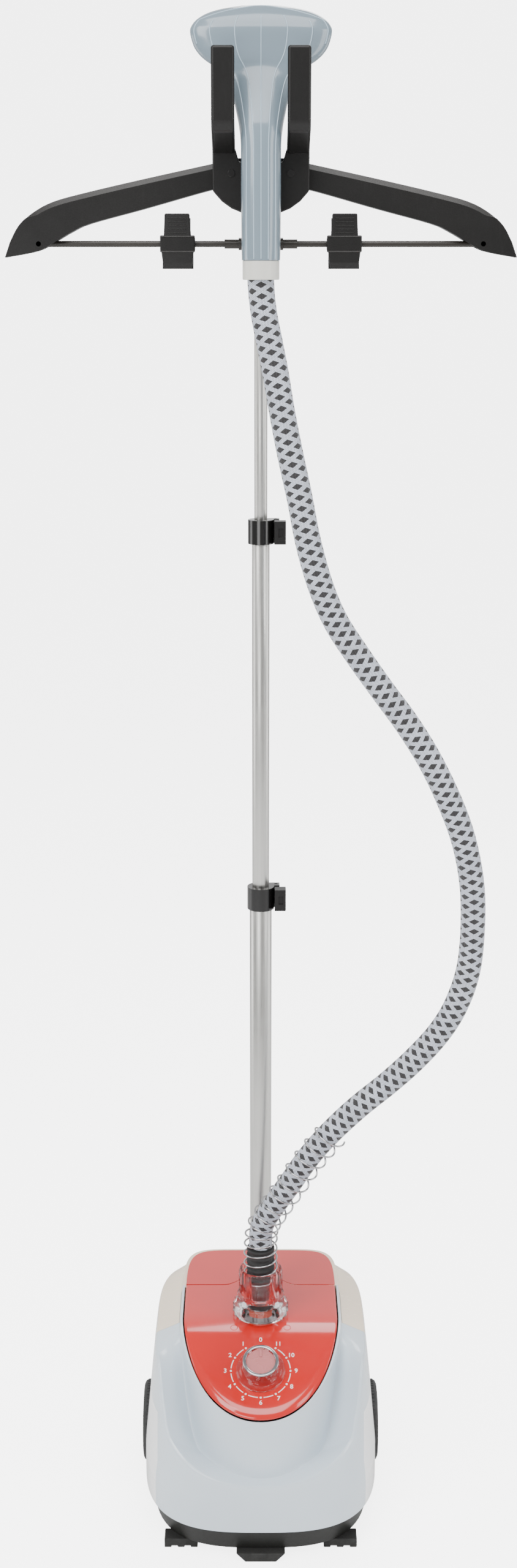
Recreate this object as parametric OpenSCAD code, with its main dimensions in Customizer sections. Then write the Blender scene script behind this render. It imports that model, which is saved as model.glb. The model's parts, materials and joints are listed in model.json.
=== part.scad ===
// Upright garment steamer: a wheeled steam base with a lift-off tank, a telescoping mast with a
// folding hanger, and a handset on a braided hose. Origin under the centre of the part, +Z up,
// the dial side faces -Y.

/* [Base] */
// Width of the body
body_w = 272; // [264:1:284]
// Depth of the body
body_d = 316; // [310:1:324]
// Height of the body's lower edge above the floor
skirt_z = 39; // [37:0.5:42]
// Height of the body's top at the back
body_top = 224; // [222:1:228]
// Slope of the control panel, rise over run
panel_slope = 0.49; // [0.44:0.01:0.54]
// Wall of the moulded covers
wall = 3; // [2.5:0.1:3.4]
// Radius of the rear wheels
wheel_r = 48; // [46:0.5:50]

/* [Mast] */
// Distance of the mast behind the centre
mast_y = 50; // [48:0.5:52]
// Radius of the lower tube
tube_r1 = 12.5; // [12.3:0.1:12.8]
// Radius of the middle tube
tube_r2 = 9.5; // [9.3:0.1:9.8]
// Radius of the upper tube
tube_r3 = 7; // [6.8:0.1:7.2]
// Height of the lower clamp
clamp_z1 = 723; // [700:1:740]
// Height of the upper clamp
clamp_z2 = 1139; // [1120:1:1150]
// Wall of the mast tubes
tube_wall = 1; // [0.8:0.1:1.2]

/* [Hanger] */
// Reach of each arm from the middle
arm_reach = 264; // [256:1:270]
// Height of the arm pivots
pivot_z = 1507; // [1505:0.5:1509]
// Distance of each arm pivot from the middle
pivot_x = 30; // [29:0.5:31]
// Height of the clip rods
rod_z = 1438.5; // [1437:0.5:1440]
// Radius of the clip rods
rod_r = 3.1; // [2.9:0.1:3.2]
// Distance of each trouser clip from the middle
clip_x = 86; // [70:1:120]

/* [Handset] */
// Height of the steam head's top
head_top = 1666; // [1660:1:1670]
// Half the width of the steam head
head_half = 70.5; // [66:0.5:74]
// Radius of the handle
handle_r = 20; // [19:0.5:21]
// Radius of the braided hose
hose_r = 13.5; // [12.5:0.5:13.5]

/* [Hidden] */
$fn = 64;
run_gap = 0.06;
fit_gap = 0.4;
panel_seam_y = 64;
panel_break_y = -31;
seam_r = 36;
wall_lean = 0.0022;
lean_z = 75;
tray_taper = 0.0018;
nut_top_z = 283;
arm_y = 24;
arm_depth = 20;
rod_y = arm_y + arm_depth / 2;
handle_y = -20;
plate_y = 14;
wheel_y = 50;
axle_r = 4;
dial_y = -84;
dial_tilt = atan(panel_slope);
leg_xy = [for (s = [-1, 1]) for (y = [-80, 20]) [55 * s, y]];
clamp_h = 26;
clamp_r1 = 15.2;
clamp_r2 = 13.9;
pin_out = 2.2;
pin_y = 8;
tank_port = [38, 84];
head_wide_z = head_top - 25.5;
plate_screw = [44, 1633.5];
cuff_top_z = 311;

// Points of the hose's route, from inside the handle down to the nut
hose_route = [
  [0, -20, 1455], [0, -20, 1425], [0, -20, 1398], [3, -21, 1370], [9, -24, 1340], [15, -27, 1310],
  [22, -31, 1270], [30, -34, 1230], [40, -37, 1185], [49, -40, 1140], [62, -43, 1095], [78, -45, 1058],
  [100, -47, 1024], [127, -48, 986], [155, -49, 948], [180, -50, 908], [202, -50, 863], [218, -50, 820],
  [228, -49, 773], [231, -47, 725], [228, -45, 672], [216, -43, 629], [198, -41, 595], [172, -38, 562],
  [143, -35, 532], [110, -31, 501], [80, -26, 468], [56, -21, 436], [35, -16, 401], [16, -9, 368],
  [2, -1, 338], [0, 0, 312]
];

// The same route carried on down the middle of the nut
guard_route = concat(hose_route, [[0, 0, 286], [0, 0, 262]]);

// ---- functions ----

// Power that keeps its sign
function spow(v, p) = sign(v) * pow(abs(v), p);

// Point of a rounded outline at angle a: half width hw, reaches to the front and the back of yc
function outline_pt(a, hw, front, back, nf, nb, yc) =
  let (n = sin(a) < 0 ? nf : nb)
  [hw * spow(cos(a), 2 / n), yc + (sin(a) < 0 ? front : back) * spow(sin(a), 2 / n)];

// Body's outer outline, drawn in by inset
function body_pt(a, inset) =
  outline_pt(a, body_w / 2 - inset, body_d / 2 - inset, body_d / 2 - inset, 3, 4.5, 0);

// Outline of the raised middle under the red panels
function tongue_pt(a, grow) = outline_pt(a, 90 + grow, 130 + grow, 154 + grow, 2.1, 7, -5);

// Height of the top surface at distance y
function top_z(y) = body_top - panel_slope * 10 * ln(1 + exp((panel_break_y - y) / 10));

// Smooth step from 0 to 1 between a and b
function ease(v, a, b) = let (t = min(max((v - a) / (b - a), 0), 1)) t * t * (3 - 2 * t);

// Angle away from the front of the body, 0 to 180
function front_angle(a) = let (d = abs(a - 270)) d > 180 ? 360 - d : d;

// Height of the shoulder's outer edge and of its foot at the raised middle
function shoulder_out(f) = 97 + 44 * pow(min(f, 54) / 54, 1.5) + 62 * ease(f, 46, 72);
function shoulder_in(f) = 96 + 10 * ease(f, 0, 50) + 108 * ease(f, 44, 84);

// Share of the way out to the body's outline, and height, at each level from the lower edge to the rim
function body_levels(zo, zi, zt) = [
  [1, skirt_z], [1, skirt_z + 0.7 * (zo - skirt_z)], [0.99, zo - 6], [0.95, zo - 1.6], [0.9, zo],
  [0.06, zi + 0.6], [0.01, zi + 4.5], [0, zi + 0.5 * (zt - zi) + 2], [0, zt]
];

// How far out the walls still stand at height z, for they lean inwards towards the top
function lean(z) = 1 - wall_lean * max(z - lean_z, 0);

// One ring of the body: k picks the level
function body_ring_pt(a, k, inset) =
  let (
    f = max(front_angle(a) - 2.5 * inset, 0),
    o = body_pt(a, inset),
    t = tongue_pt(a, 4 - inset),
    zi = shoulder_in(f) - inset,
    level = body_levels(shoulder_out(f) - inset, zi, max(top_z(t[1]) - 1 - inset, zi + 3))[k],
    mix = level[0] * lean(level[1])
  )
  [t[0] + mix * (o[0] - t[0]), t[1] + mix * (o[1] - t[1]), level[1]];

// Catmull-Rom point of a route
function route_pt(r, s) =
  let (
    n = len(r) - 1,
    i = min(max(floor(s), 0), n - 1),
    u = s - i,
    a = r[max(i - 1, 0)], b = r[i], c = r[i + 1], d = r[min(i + 2, n)]
  )
  0.5 * (2 * b + (c - a) * u + (2 * a - 5 * b + 4 * c - d) * u * u + (3 * b - a - 3 * c + d) * u * u * u);

function unit(v) = v / norm(v);

// Side and upper directions square to a route that never runs along Y
function side_dir(t) = unit(cross(t, [0, 1, 0]));
function up_dir(t) = cross(side_dir(t), t);

// Point on a ring of radius r around the route
function around(p, t, r, a) = p + r * (cos(a) * side_dir(t) + sin(a) * up_dir(t));

function route_dir(r, s) = unit(route_pt(r, min(s + 0.02, len(r) - 1)) - route_pt(r, max(s - 0.02, 0)));

// ---- helpers ----

// Closed skin over rings of equally many points
module loft(rings) {
  m = len(rings[0]);
  n = len(rings);
  points = [for (ring = rings) for (p = ring) p];
  sides = [for (i = [0:n - 2]) for (j = [0:m - 1]) for (h = [0, 1])
    let (a = i * m + j, b = i * m + (j + 1) % m)
    h == 0 ? [a, b, a + m] : [b, b + m, a + m]];
  polyhedron(points, concat([for (f = sides) [f[2], f[1], f[0]]], [[for (j = [0:m - 1]) j]],
    [[for (j = [m - 1:-1:0]) (n - 1) * m + j]]), convexity = 8);
}

// The body's whole outer form, drawn in by inset; its cap is a fan to one middle point
module body_form(inset) {
  m = 72;
  levels = 9;
  base_z = inset > 0 ? skirt_z - 20 : skirt_z;
  points = concat(
    [for (k = [0:levels - 1]) for (j = [0:m - 1])
      let (p = body_ring_pt(360 * j / m, k, inset))
      [p[0], p[1], k == 0 ? base_z : p[2]]],
    [[0, -10, base_z], [0, -10, top_z(-10) - 1 - inset]]);
  sides = [for (k = [0:levels - 2]) for (j = [0:m - 1]) for (h = [0, 1])
    let (a = k * m + j, b = k * m + (j + 1) % m)
    h == 0 ? [a, a + m, b] : [b, a + m, b + m]];
  under = [for (j = [0:m - 1]) [j, (j + 1) % m, levels * m]];
  over = [for (j = [0:m - 1]) [(levels - 1) * m + (j + 1) % m, (levels - 1) * m + j, levels * m + 1]];
  polyhedron(points, concat(sides, under, over), convexity = 8);
}

module body_shell() {
  difference() {
    body_form(0);
    body_form(wall);
  }
}

// Upright prism over the raised middle's outline
module tongue_prism(grow, z0, z1) {
  translate([0, 0, z0])
    linear_extrude(z1 - z0)
      polygon([for (j = [0:71]) tongue_pt(5 * j, grow)]);
}

// Slab that follows the top surface between two depths and between two heights of cover
module top_slab(y0, y1, below, above) {
  n = 14;
  ys = [for (i = [0:n]) y0 + (y1 - y0) * i / n];
  translate([-150, 0, 0])
    rotate([90, 0, 90])
      linear_extrude(300)
        polygon(concat(
          [for (y = ys) [y, top_z(y) - below]],
          [for (i = [n:-1:0]) [ys[i], top_z(ys[i]) + above]]));
}

// Room that the tank takes out of the body, grown by g
module tank_room(g) {
  difference() {
    union() {
      translate([-108 - g, panel_seam_y - g, 72 - g]) cube([216 + 2 * g, 140, 200]);
      translate([-160, panel_seam_y - g, 176 - g]) cube([320, 140, 100]);
      for (s = [-1, 1]) translate([s > 0 ? 96 - g : -160, -7 - g, 200 - g]) cube([64 + g, 100, 80]);
    }
    translate([0, mast_y, 0]) cylinder(r = seam_r - g, h = 400);
  }
}

module wheel_room(grow) {
  for (s = [-1, 1])
    translate([s > 0 ? 116 - grow : -150, wheel_y, wheel_r])
      rotate([0, 90, 0]) cylinder(r = wheel_r + 4 + grow, h = 34 + grow);
}

// Ring of outer radius ro and bore ri between two heights
module tube(ro, ri, z0, z1) {
  translate([0, 0, z0]) difference() {
    cylinder(r = ro, h = z1 - z0);
    translate([0, 0, -1]) cylinder(r = ri, h = z1 - z0 + 2);
  }
}

module at_mast() { translate([0, mast_y, 0]) children(); }

module on_dial() {
  translate([0, dial_y, top_z(dial_y) + 0.8]) rotate([dial_tilt, 0, 0]) children();
}

module flip(s) {
  if (s < 0) mirror([1, 0, 0]) children();
  else children();
}

// ---- base ----

// Solid between two heights whose front and sides flare out to the body's outline, drawn in by inset
module tray_form(inset, z0, z1) {
  loft([for (z = [z0, z1])
    let (flare = 1 - tray_taper * (skirt_z - z))
    [for (j = [0:71])
      let (p = body_pt(5 * j, inset))
      [p[0] * flare, p[1] * (p[1] < 0 ? flare : 1), z]]]);
}

module base_tray() {
  color([0.2, 0.2, 0.19]) difference() {
    union() {
      difference() {
        tray_form(3.5, 11, skirt_z);
        tray_form(7, 14, skirt_z + 20);
      }
      for (s = [-1, 1]) translate([s * 106 - 5, wheel_y - 9, 12]) cube([10, 18, wheel_r - 4]);
      for (p = leg_xy) translate([p[0], p[1], 12]) cylinder(r = 6, h = 30);
      translate([-22, mast_y - 10, 12]) cube([44, 20, 46]);
    }
    wheel_room(1);
    translate([-130, wheel_y, wheel_r]) rotate([0, 90, 0]) cylinder(r = axle_r, h = 260);
    for (p = leg_xy) translate([p[0], p[1], 9]) cylinder(r = 2, h = 40);
    translate([-70, body_d / 2 - 20, 26]) rotate([-90, 0, 0]) cylinder(r = 6.5, h = 30);
  }
}

// Wedge-shaped centre foot under the front edge
module front_foot() {
  color([0.16, 0.16, 0.15]) translate([0, -128, 0]) rotate([90, 0, 0])
    linear_extrude(body_d / 2 - 128 - 0.5)
      polygon([[-17.5, 0], [17.5, 0], [28, 11], [-28, 11]]);
}

// Foot block of width w from (x, y) with three treads under it
module foot(x, y, w) {
  translate([x - w / 2, y, 2]) cube([w, 20, 9]);
  for (i = [-1:1]) translate([x + i * (w / 2 - 4) - 4, y, 0]) cube([8, 20, 3]);
}

// Feet at the front corners and two narrower ones at the back
module corner_feet() {
  color([0.16, 0.16, 0.15]) for (s = [-1, 1]) {
    foot(s * 91, -131, 38);
    foot(s * 70, 122, 28);
  }
}

module side_cut(s) {
  translate([s > 0 ? 118 : -160, -106, 0]) cube([42, 300, 150]);
  translate([s > 0 ? 0 : -160, 124, 0]) cube([160, 60, 150]);
}

module front_shell() {
  color([0.8, 0.83, 0.86]) difference() {
    body_shell();
    side_cut(1);
    side_cut(-1);
    tongue_prism(0.2, 100, 300);
    tank_room(fit_gap);
    wheel_room(0);
  }
}

module side_panel(s) {
  color([0.93, 0.93, 0.93]) difference() {
    intersection() {
      body_shell();
      translate([s * 0.15, 0.3, -1]) side_cut(s);
    }
    tank_room(fit_gap);
    wheel_room(0);
  }
}

module control_panel() {
  color([0.85, 0.17, 0.14]) difference() {
    intersection() {
      tongue_prism(0, 100, 300);
      top_slab(-140, mast_y + seam_r, 3, 0);
    }
    difference() {
      translate([-150, panel_seam_y - fit_gap, 100]) cube([300, 100, 200]);
      translate([0, mast_y, 99]) cylinder(r = seam_r - fit_gap, h = 202);
    }
    translate([0, mast_y, 100]) cylinder(r = 15.6, h = 200);
    translate([0, 0, 100]) cylinder(r = 20.6, h = 200);
    on_dial() cylinder(r = 4.6, h = 40, center = true);
  }
}

module boiler_body() {
  color([0.7, 0.7, 0.7]) difference() {
    translate([-55, -92, 52]) linear_extrude(50) offset_square(110, 112, 14);
    translate([-49, -86, 58]) linear_extrude(60) offset_square(98, 100, 10);
  }
  color([0.7, 0.7, 0.7]) for (s = [-1, 1]) for (y = [-80, 14])
    translate([s * 49.5, y, 42]) cylinder(r = 5, h = 10);
}

// Rounded rectangle outline from the corner
module offset_square(w, d, r) {
  polygon([for (q = [0:3]) for (i = [0:6])
    let (a = 90 * q + 15 * i, cx = q == 0 || q == 3 ? w - r : r, cy = q < 2 ? d - r : r)
    [cx + r * cos(a), cy + r * sin(a)]]);
}

module boiler_cover() {
  color([0.62, 0.62, 0.6]) difference() {
    translate([-55, -92, 102]) linear_extrude(3) offset_square(110, 112, 14);
    translate([0, 0, 90]) cylinder(r = 9.1, h = 30);
  }
}

// Bent heating rod cast along the boiler floor
module heater_element() {
  color([0.4, 0.4, 0.4]) {
    for (s = [-1, 1]) translate([s * 30, -50, 63]) rotate([-90, 0, 0]) cylinder(r = 4, h = 60);
    translate([0, -50, 63]) rotate([0, 0, 180]) rotate_extrude(angle = 180) translate([30, 0]) circle(r = 4);
  }
}

module thermostat() {
  color([0.85, 0.85, 0.8]) translate([-34, -20, 105]) {
    cylinder(r = 9, h = 6);
    cylinder(r = 5, h = 11);
  }
}

// Water pipe from the tank's seat to the boiler
module feed_tube() {
  color([0.9, 0.9, 0.88]) translate([38, 20, 64]) rotate([-90, 0, 0]) difference() {
    cylinder(r = 4, h = 49.9);
    translate([0, 0, -1]) cylinder(r = 2.5, h = 60);
  }
}

module outlet_spout() {
  color([0.55, 0.52, 0.48]) tube(9, 6.5, 96, 242);
  color([0.55, 0.52, 0.48]) tube(20, 9, 214, 218);
}

module outlet_seal() { color([0.75, 0.3, 0.2]) tube(14, 9.1, 225.4, 229.4); }

// Cup in the tank's well that opens the tank's valve and feeds the pipe
module well_seat() {
  color([0.2, 0.2, 0.2]) {
    translate([tank_port[0], tank_port[1], 56]) difference() {
      cylinder(r = 14, h = 12);
      translate([0, 0, 3]) cylinder(r = 11, h = 20);
    }
    translate([tank_port[0], tank_port[1], 57]) cylinder(r = 1.5, h = 13);
    translate([tank_port[0], tank_port[1], 14]) cylinder(r = 6, h = 43);
  }
}

module dial_switch() {
  color([0.85, 0.85, 0.8]) on_dial() {
    translate([-14, -14, -26]) cube([28, 28, 16]);
    translate([0, 0, -11]) cylinder(r = 6, h = 7.4);
    cylinder(r = 3, h = 18, center = true);
  }
}

module axle() {
  color([0.6, 0.6, 0.6]) translate([-140.5, wheel_y, wheel_r]) rotate([0, 90, 0]) cylinder(r = axle_r, h = 281);
}

module base_screws() {
  color([0.5, 0.5, 0.5]) for (p = leg_xy)
    translate([p[0], p[1], 10]) {
      cylinder(r = 3.5, h = 1);
      cylinder(r = 2, h = 22);
    }
}

module cable_gland() {
  color([0.15, 0.15, 0.15]) translate([-70, body_d / 2 - 13, 26]) rotate([-90, 0, 0]) difference() {
    union() {
      cylinder(r = 6.5, h = 13);
      cylinder(r = 9.5, h = 1.8);
    }
    translate([0, 0, -1]) cylinder(r = 3.2, h = 20);
  }
}

module mast_socket() {
  color([0.15, 0.15, 0.15]) at_mast() {
    tube(15.4, tube_r1, 60, 236);
    tube(17.4, 15.4, body_top + 0.3, body_top + 6);
    tube(15.4, 0.1, 58, 60);
  }
}

// ---- tank ----

module water_tank() {
  color([0.91, 0.87, 0.81]) difference() {
    intersection() {
      body_form(0);
      tank_room(0);
    }
    intersection() {
      body_form(wall);
      tank_room(-wall);
    }
    top_slab(panel_seam_y - 20, 180, 3.4, 8);
    translate([tank_port[0], tank_port[1], 60]) cylinder(r = 9, h = 20);
  }
}

module tank_lid() {
  color([0.85, 0.17, 0.14]) difference() {
    intersection() {
      tongue_prism(0, 100, 300);
      top_slab(panel_seam_y, 150, 3, 0);
    }
    translate([0, mast_y, 100]) cylinder(r = seam_r, h = 200);
  }
}

module tank_cap() {
  color([0.25, 0.25, 0.25]) translate([tank_port[0], tank_port[1], 70.5]) {
    difference() {
      cylinder(r = 9, h = 9);
      translate([0, 0, -1]) cylinder(r = 2.2, h = 5);
    }
  }
}

// ---- dial and nut ----

module dial_knob() {
  color([0.93, 0.93, 0.95, 0.5]) on_dial() {
    rotate_extrude()
      polygon([[3 + run_gap, 1.6], [17, 1.6], [17, 0], [28, 0], [28, 1.4], [27, 1.4], [22.4, 9], [20.5, 9],
        [20.5, 21], [16.5, 21], [16.5, 16], [0, 16], [0, 10], [3 + run_gap, 10]]);
    for (i = [0:11]) rotate(30 * i + 7) translate([19.5, -1.6, 9.5]) cube([2.2, 3.2, 10.5]);
  }
}

module dial_insert() {
  color([0.8, 0.55, 0.55]) on_dial() {
    translate([0, 0, 16]) cylinder(r = 16.4, h = 2);
    translate([-1.5, 6, 18]) cube([3, 9, 1.6]);
  }
}

module hose_nut() {
  color([0.92, 0.92, 0.94, 0.5]) difference() {
    union() {
      tube(31, 14, 225, 240);
      tube(27.5, 14, 240, 251);
      tube(24.5, 14, 251, nut_top_z);
      for (i = [0:17]) rotate(20 * i) translate([30, -1.8, 226]) cube([2.4, 3.6, 13]);
      for (i = [0:17]) rotate(20 * i) translate([23.8, -1.2, 251]) cube([1.7, 2.4, 30]);
    }
    translate([0, 0, 200]) cylinder(r = 15, h = 100);
    translate([0, 0, 244]) cylinder(r = 21, h = 100);
    translate([0, 0, 223]) cylinder(r = 20, h = 9);
  }
}

// ---- wheels ----

module tyre() {
  color([0.1, 0.1, 0.1]) translate([119, wheel_y, wheel_r]) rotate([0, 90, 0]) difference() {
    cylinder(r = wheel_r, h = 23);
    translate([0, 0, -1]) cylinder(r = wheel_r - 8, h = 26);
  }
}

module wheel_hub() {
  color([0.35, 0.35, 0.35]) translate([119, wheel_y, wheel_r]) rotate([0, 90, 0]) difference() {
    union() {
      translate([0, 0, 4]) cylinder(r = wheel_r - 8, h = 14);
      cylinder(r = 12, h = 23.6);
    }
    translate([0, 0, -1]) cylinder(r = axle_r + run_gap, h = 23);
    for (i = [0:4]) rotate(72 * i) translate([25, 0, -1]) cylinder(r = 8, h = 30);
  }
}

// ---- mast ----

module tube_lower() {
  color([0.72, 0.72, 0.7]) at_mast() tube(tube_r1, tube_r1 - tube_wall, 60, clamp_z1 + 2);
}

module tube_middle() {
  color([0.72, 0.72, 0.7]) at_mast() tube(tube_r2, tube_r2 - tube_wall, clamp_z1 - 68, clamp_z2 + 2);
}

module bush_middle() {
  color([0.15, 0.15, 0.15]) at_mast()
    tube(tube_r1 - tube_wall - run_gap, tube_r2, clamp_z1 - 68, clamp_z1 - 44);
}

module tube_upper() { color([0.72, 0.72, 0.7]) at_mast() tube(tube_r3, tube_r3 - tube_wall, clamp_z2 - 54, 1500); }

module bush_upper() {
  color([0.15, 0.15, 0.15]) at_mast()
    tube(tube_r2 - tube_wall - run_gap, tube_r3, clamp_z2 - 54, clamp_z2 - 32);
}

// Clamp ring of radius rc: grips the outer tube ro below and guides the inner tube ri above
module clamp(z, rc, ro, ri) {
  pin_x = rc + pin_out;
  color([0.08, 0.08, 0.08]) at_mast() translate([0, 0, z]) difference() {
    union() {
      translate([0, 0, -clamp_h / 2]) cylinder(r = rc, h = clamp_h);
      for (z = [8.6, -clamp_h / 2]) translate([8, 2, z]) cube([pin_x - 4, 11, clamp_h / 2 - 8.6]);
    }
    translate([0, 0, -20]) cylinder(r = ro, h = 22.1);
    translate([0, 0, -20]) cylinder(r = ri + run_gap, h = 60);
    for (k = [-1, 1]) translate([pin_x, pin_y, k > 0 ? 8 : -20]) cylinder(r = 2, h = 12);
  }
  color([0.5, 0.5, 0.5]) at_mast() translate([pin_x, pin_y, z - clamp_h / 2 + 0.5])
    cylinder(r = 2, h = clamp_h - 1);
}

// Latch lever on an upright pin, lying along the clamp's right side
module lever(z, rc) {
  color([0.08, 0.08, 0.08]) at_mast() translate([rc + pin_out, pin_y, z]) difference() {
    union() {
      translate([0, 0, -8.2]) cylinder(r = 3.6, h = 16.4);
      translate([-1.6, -22, -8.2]) cube([5.2, 22, 16.4]);
      translate([-1.6, -22, 0.6 - clamp_h / 2]) cube([12.6, 13.6, clamp_h - 1.2]);
    }
    translate([0, 0, -20]) cylinder(r = 2 + run_gap, h = 40);
    translate([3, -23, -5]) cube([5, 3, 10]);
  }
}

// ---- hanger ----

module hanger_hub() {
  color([0.12, 0.12, 0.12]) difference() {
    union() {
      translate([0, 23.5, 0]) rotate([90, 0, 0]) linear_extrude(9.5)
        polygon([[-44, 1492], [-24, 1474], [24, 1474], [44, 1492], [44, 1522], [-44, 1522]]);
      translate([-13, 20, 1474]) cube([26, 30, 44]);
      translate([0, mast_y, 1446]) cylinder(r = 13, h = 72);
    }
    translate([0, mast_y, 1400]) cylinder(r = tube_r3, h = 100);
    for (s = [-1, 1]) translate([s * pivot_x, 40, pivot_z]) rotate([90, 0, 0]) cylinder(r = 3, h = 60);
  }
}

// Half outline of the fork's back plate
function plate_side(s) =
  [[s * 17, 1468], [s * 20, 1469], [s * 30, 1473], [s * 40, 1480], [s * 49, 1490], [s * 49, 1531]];

module prong_profile() {
  polygon([[13.9, 1512], [13.9, 1531], [-30, 1549], [-36, 1556], [-36, 1618], [-40, 1624], [-46, 1624],
    [-46, 1552], [-40, 1544], [4, 1526], [4, 1512]]);
}

module fork() {
  color([0.12, 0.12, 0.12]) difference() {
    union() {
      translate([0, 13.9, 0]) rotate([90, 0, 0]) linear_extrude(9.9)
        polygon(concat([for (p = plate_side(1)) p], [[26, 1531], [22, 1518], [-22, 1518], [-26, 1531]],
          [for (i = [5:-1:0]) plate_side(-1)[i]]));
      for (s = [-1, 1]) translate([s > 0 ? 26 : -49, 0, 0]) rotate([90, 0, 90])
        linear_extrude(23) prong_profile();
    }
    for (s = [-1, 1]) translate([s * pivot_x, 40, pivot_z]) rotate([90, 0, 0]) cylinder(r = 3, h = 60);
  }
}

module rod_boss() {
  color([0.12, 0.12, 0.12]) difference() {
    union() {
      translate([0, mast_y, rod_z - 9]) cylinder(r = 12, h = 16.4);
      translate([-17, rod_y - 7, rod_z - 9]) cube([34, 14, 16.4]);
    }
    translate([0, mast_y, 1400]) cylinder(r = tube_r3, h = 100);
    for (s = [-1, 1]) translate([s * 12, rod_y, rod_z]) rotate([0, s * 90, 0]) cylinder(r = 4.4, h = 10);
    for (s = [-1, 1]) translate([s > 0 ? 12 : -22, rod_y - 4.4, rod_z - 20]) cube([10, 8.8, 20]);
  }
}

module arm_screws() {
  color([0.3, 0.3, 0.3]) for (s = [-1, 1]) translate([s * pivot_x, 0, pivot_z]) {
    translate([0, arm_y + arm_depth + 2.4, 0]) rotate([90, 0, 0])
      cylinder(r = 3, h = arm_y + arm_depth - 1.6);
    translate([0, 4, 0]) rotate([90, 0, 0]) cylinder(r = 3.6, h = 1.2);
    translate([0, arm_y + arm_depth + 2.4, 0]) rotate([90, 0, 0]) cylinder(r = 5, h = 1.8);
  }
}

// Arm outline, drawn in by g along its long edges
function arm_outline(g) = [
  [38 + g, 1519.6 - g], [60, 1515.3 - g], [arm_reach - 47, 1478 - g], [arm_reach - 29, 1470 - g],
  [arm_reach - 13, 1456 - g], [arm_reach - 5 - g, 1440], [arm_reach - g, 1425], [arm_reach - 39 + g, 1434],
  [arm_reach - 55, 1443 + g], [arm_reach - 89, 1459 + g], [60, 1489.5 + g], [38 + g, 1494.4 + g]];

module arm() {
  color([0.13, 0.13, 0.12]) translate([0, arm_y + arm_depth, 0]) rotate([90, 0, 0]) difference() {
    union() {
      linear_extrude(arm_depth) polygon(arm_outline(0));
      translate([pivot_x, pivot_z, 0]) cylinder(r = 11.8, h = arm_depth);
    }
    translate([0, 0, 3]) linear_extrude(arm_depth - 6) polygon(concat(
      [for (i = [1:5]) arm_outline(3)[i]],
      [[arm_reach - 3.5, 1420], [arm_reach - 41, 1420], [arm_reach - 52, 1443], [arm_reach - 89, 1462],
        [60, 1492.5]]));
    translate([pivot_x, pivot_z, -1]) cylinder(r = 3 + run_gap, h = 40);
  }
}

module rod() {
  color([0.12, 0.11, 0.1]) translate([0, rod_y, rod_z]) rotate([0, 90, 0]) {
    translate([0, 0, 12.4]) cylinder(r = 4, h = 6);
    translate([0, 0, 17.6]) cylinder(r = 6.2, h = 5.4);
    translate([0, 0, 22.6]) cylinder(r = 4.7, h = 15);
    translate([0, 0, 22]) cylinder(r = rod_r, h = arm_reach - 60);
    translate([0, 0, arm_reach - 40]) cylinder(r = 5, h = 10);
  }
  color([0.2, 0.2, 0.2]) translate([arm_reach - 35, arm_y + arm_depth, rod_z]) rotate([90, 0, 0])
    cylinder(r = 2.6, h = arm_depth);
}

// Front half of a trouser clip, with the thumb tab and the two rod eyes
module clip() {
  color([0.14, 0.14, 0.14]) translate([clip_x, rod_y, rod_z]) difference() {
    union() {
      for (x = [-18, 7]) translate([x, 0, 0]) rotate([0, 90, 0]) cylinder(r = 6.4, h = 11);
      translate([-18, -9.5, -8]) cube([36, 4.5, 16]);
      translate([-16, 0, 0]) rotate([90, 0, 90]) linear_extrude(32)
        polygon([[-9.5, -8], [-5, -8], [-2.6, -20], [-0.3, -23], [-0.3, -25], [-4, -25], [-8, -19]]);
      translate([-13, 0, 0]) rotate([90, 0, 90]) linear_extrude(26)
        polygon([[-9.5, 8], [-5, 8], [-10.6, 30], [-14, 30], [-14, 26]]);
      for (i = [0:4]) translate([-12, -10.1 - 0.75 * i, 11 + 3.6 * i]) rotate([0, 90, 0])
        cylinder(r = 1, h = 24);
    }
    translate([-30, 0, 0]) rotate([0, 90, 0]) cylinder(r = rod_r + run_gap, h = 60);
    translate([-6.9, -4.8, -8]) cube([13.8, 20, 16]);
  }
}

// Sprung back half of a trouser clip, which turns on the rod
module clip_jaw() {
  color([0.14, 0.14, 0.14]) translate([clip_x, rod_y, rod_z]) difference() {
    union() {
      translate([-6.5, 0, 0]) rotate([0, 90, 0]) cylinder(r = 4.6, h = 13);
      translate([-6.5, 3, -4]) cube([13, 6.5, 8]);
      translate([-16, 0, 0]) rotate([90, 0, 90]) linear_extrude(32)
        polygon([[9.5, -6.6], [7, -6.6], [2.6, -20], [0.3, -23], [0.3, -25], [4, -25], [8, -19]]);
      translate([-6.5, 6.8, -8]) cube([13, 2.7, 16]);
      translate([-13, 0, 0]) rotate([90, 0, 90]) linear_extrude(26)
        polygon([[9.5, 7], [6.9, 7], [11, 26], [14, 26], [14, 23]]);
    }
    translate([-30, 0, 0]) rotate([0, 90, 0]) cylinder(r = rod_r + run_gap, h = 60);
  }
}

// ---- handset ----

// Height, half width, half depth, middle depth and roundness of the handset's rings
head_rings = [
  [1422, handle_r - 0.6, 19, -20, 2], [1440, handle_r - 0.3, 19.2, -20, 2.1],
  [1490, handle_r, 19.6, -20, 2.2], [1530, handle_r, 19.4, -20, 2.2],
  [1548, handle_r + 1.6, 18.6, -19, 2.2], [1562, handle_r + 4.2, 17.4, -16, 2.1],
  [1580, handle_r + 8.4, 15.6, -11, 2], [1594, 33.5, 15, -6, 2], [1603, 40, 15, -2, 2],
  [1609, 48, 15.2, 0, 2], [1614, 55.5, 15.6, 1, 2], [1620, 62, 16, 2, 2], [1628, 67.2, 16.4, 3, 2.1],
  [head_wide_z, head_half, 16.4, 3.5, 2.2], [1647, 68.6, 15.6, 4, 2.2], [1653, 63, 14.2, 4.5, 2.1],
  [1658.5, 53, 11.6, 5.5, 2], [1662.5, 39, 8.6, 6.5, 2], [head_top - 0.5, 20, 5.4, 8, 2]
];

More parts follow.
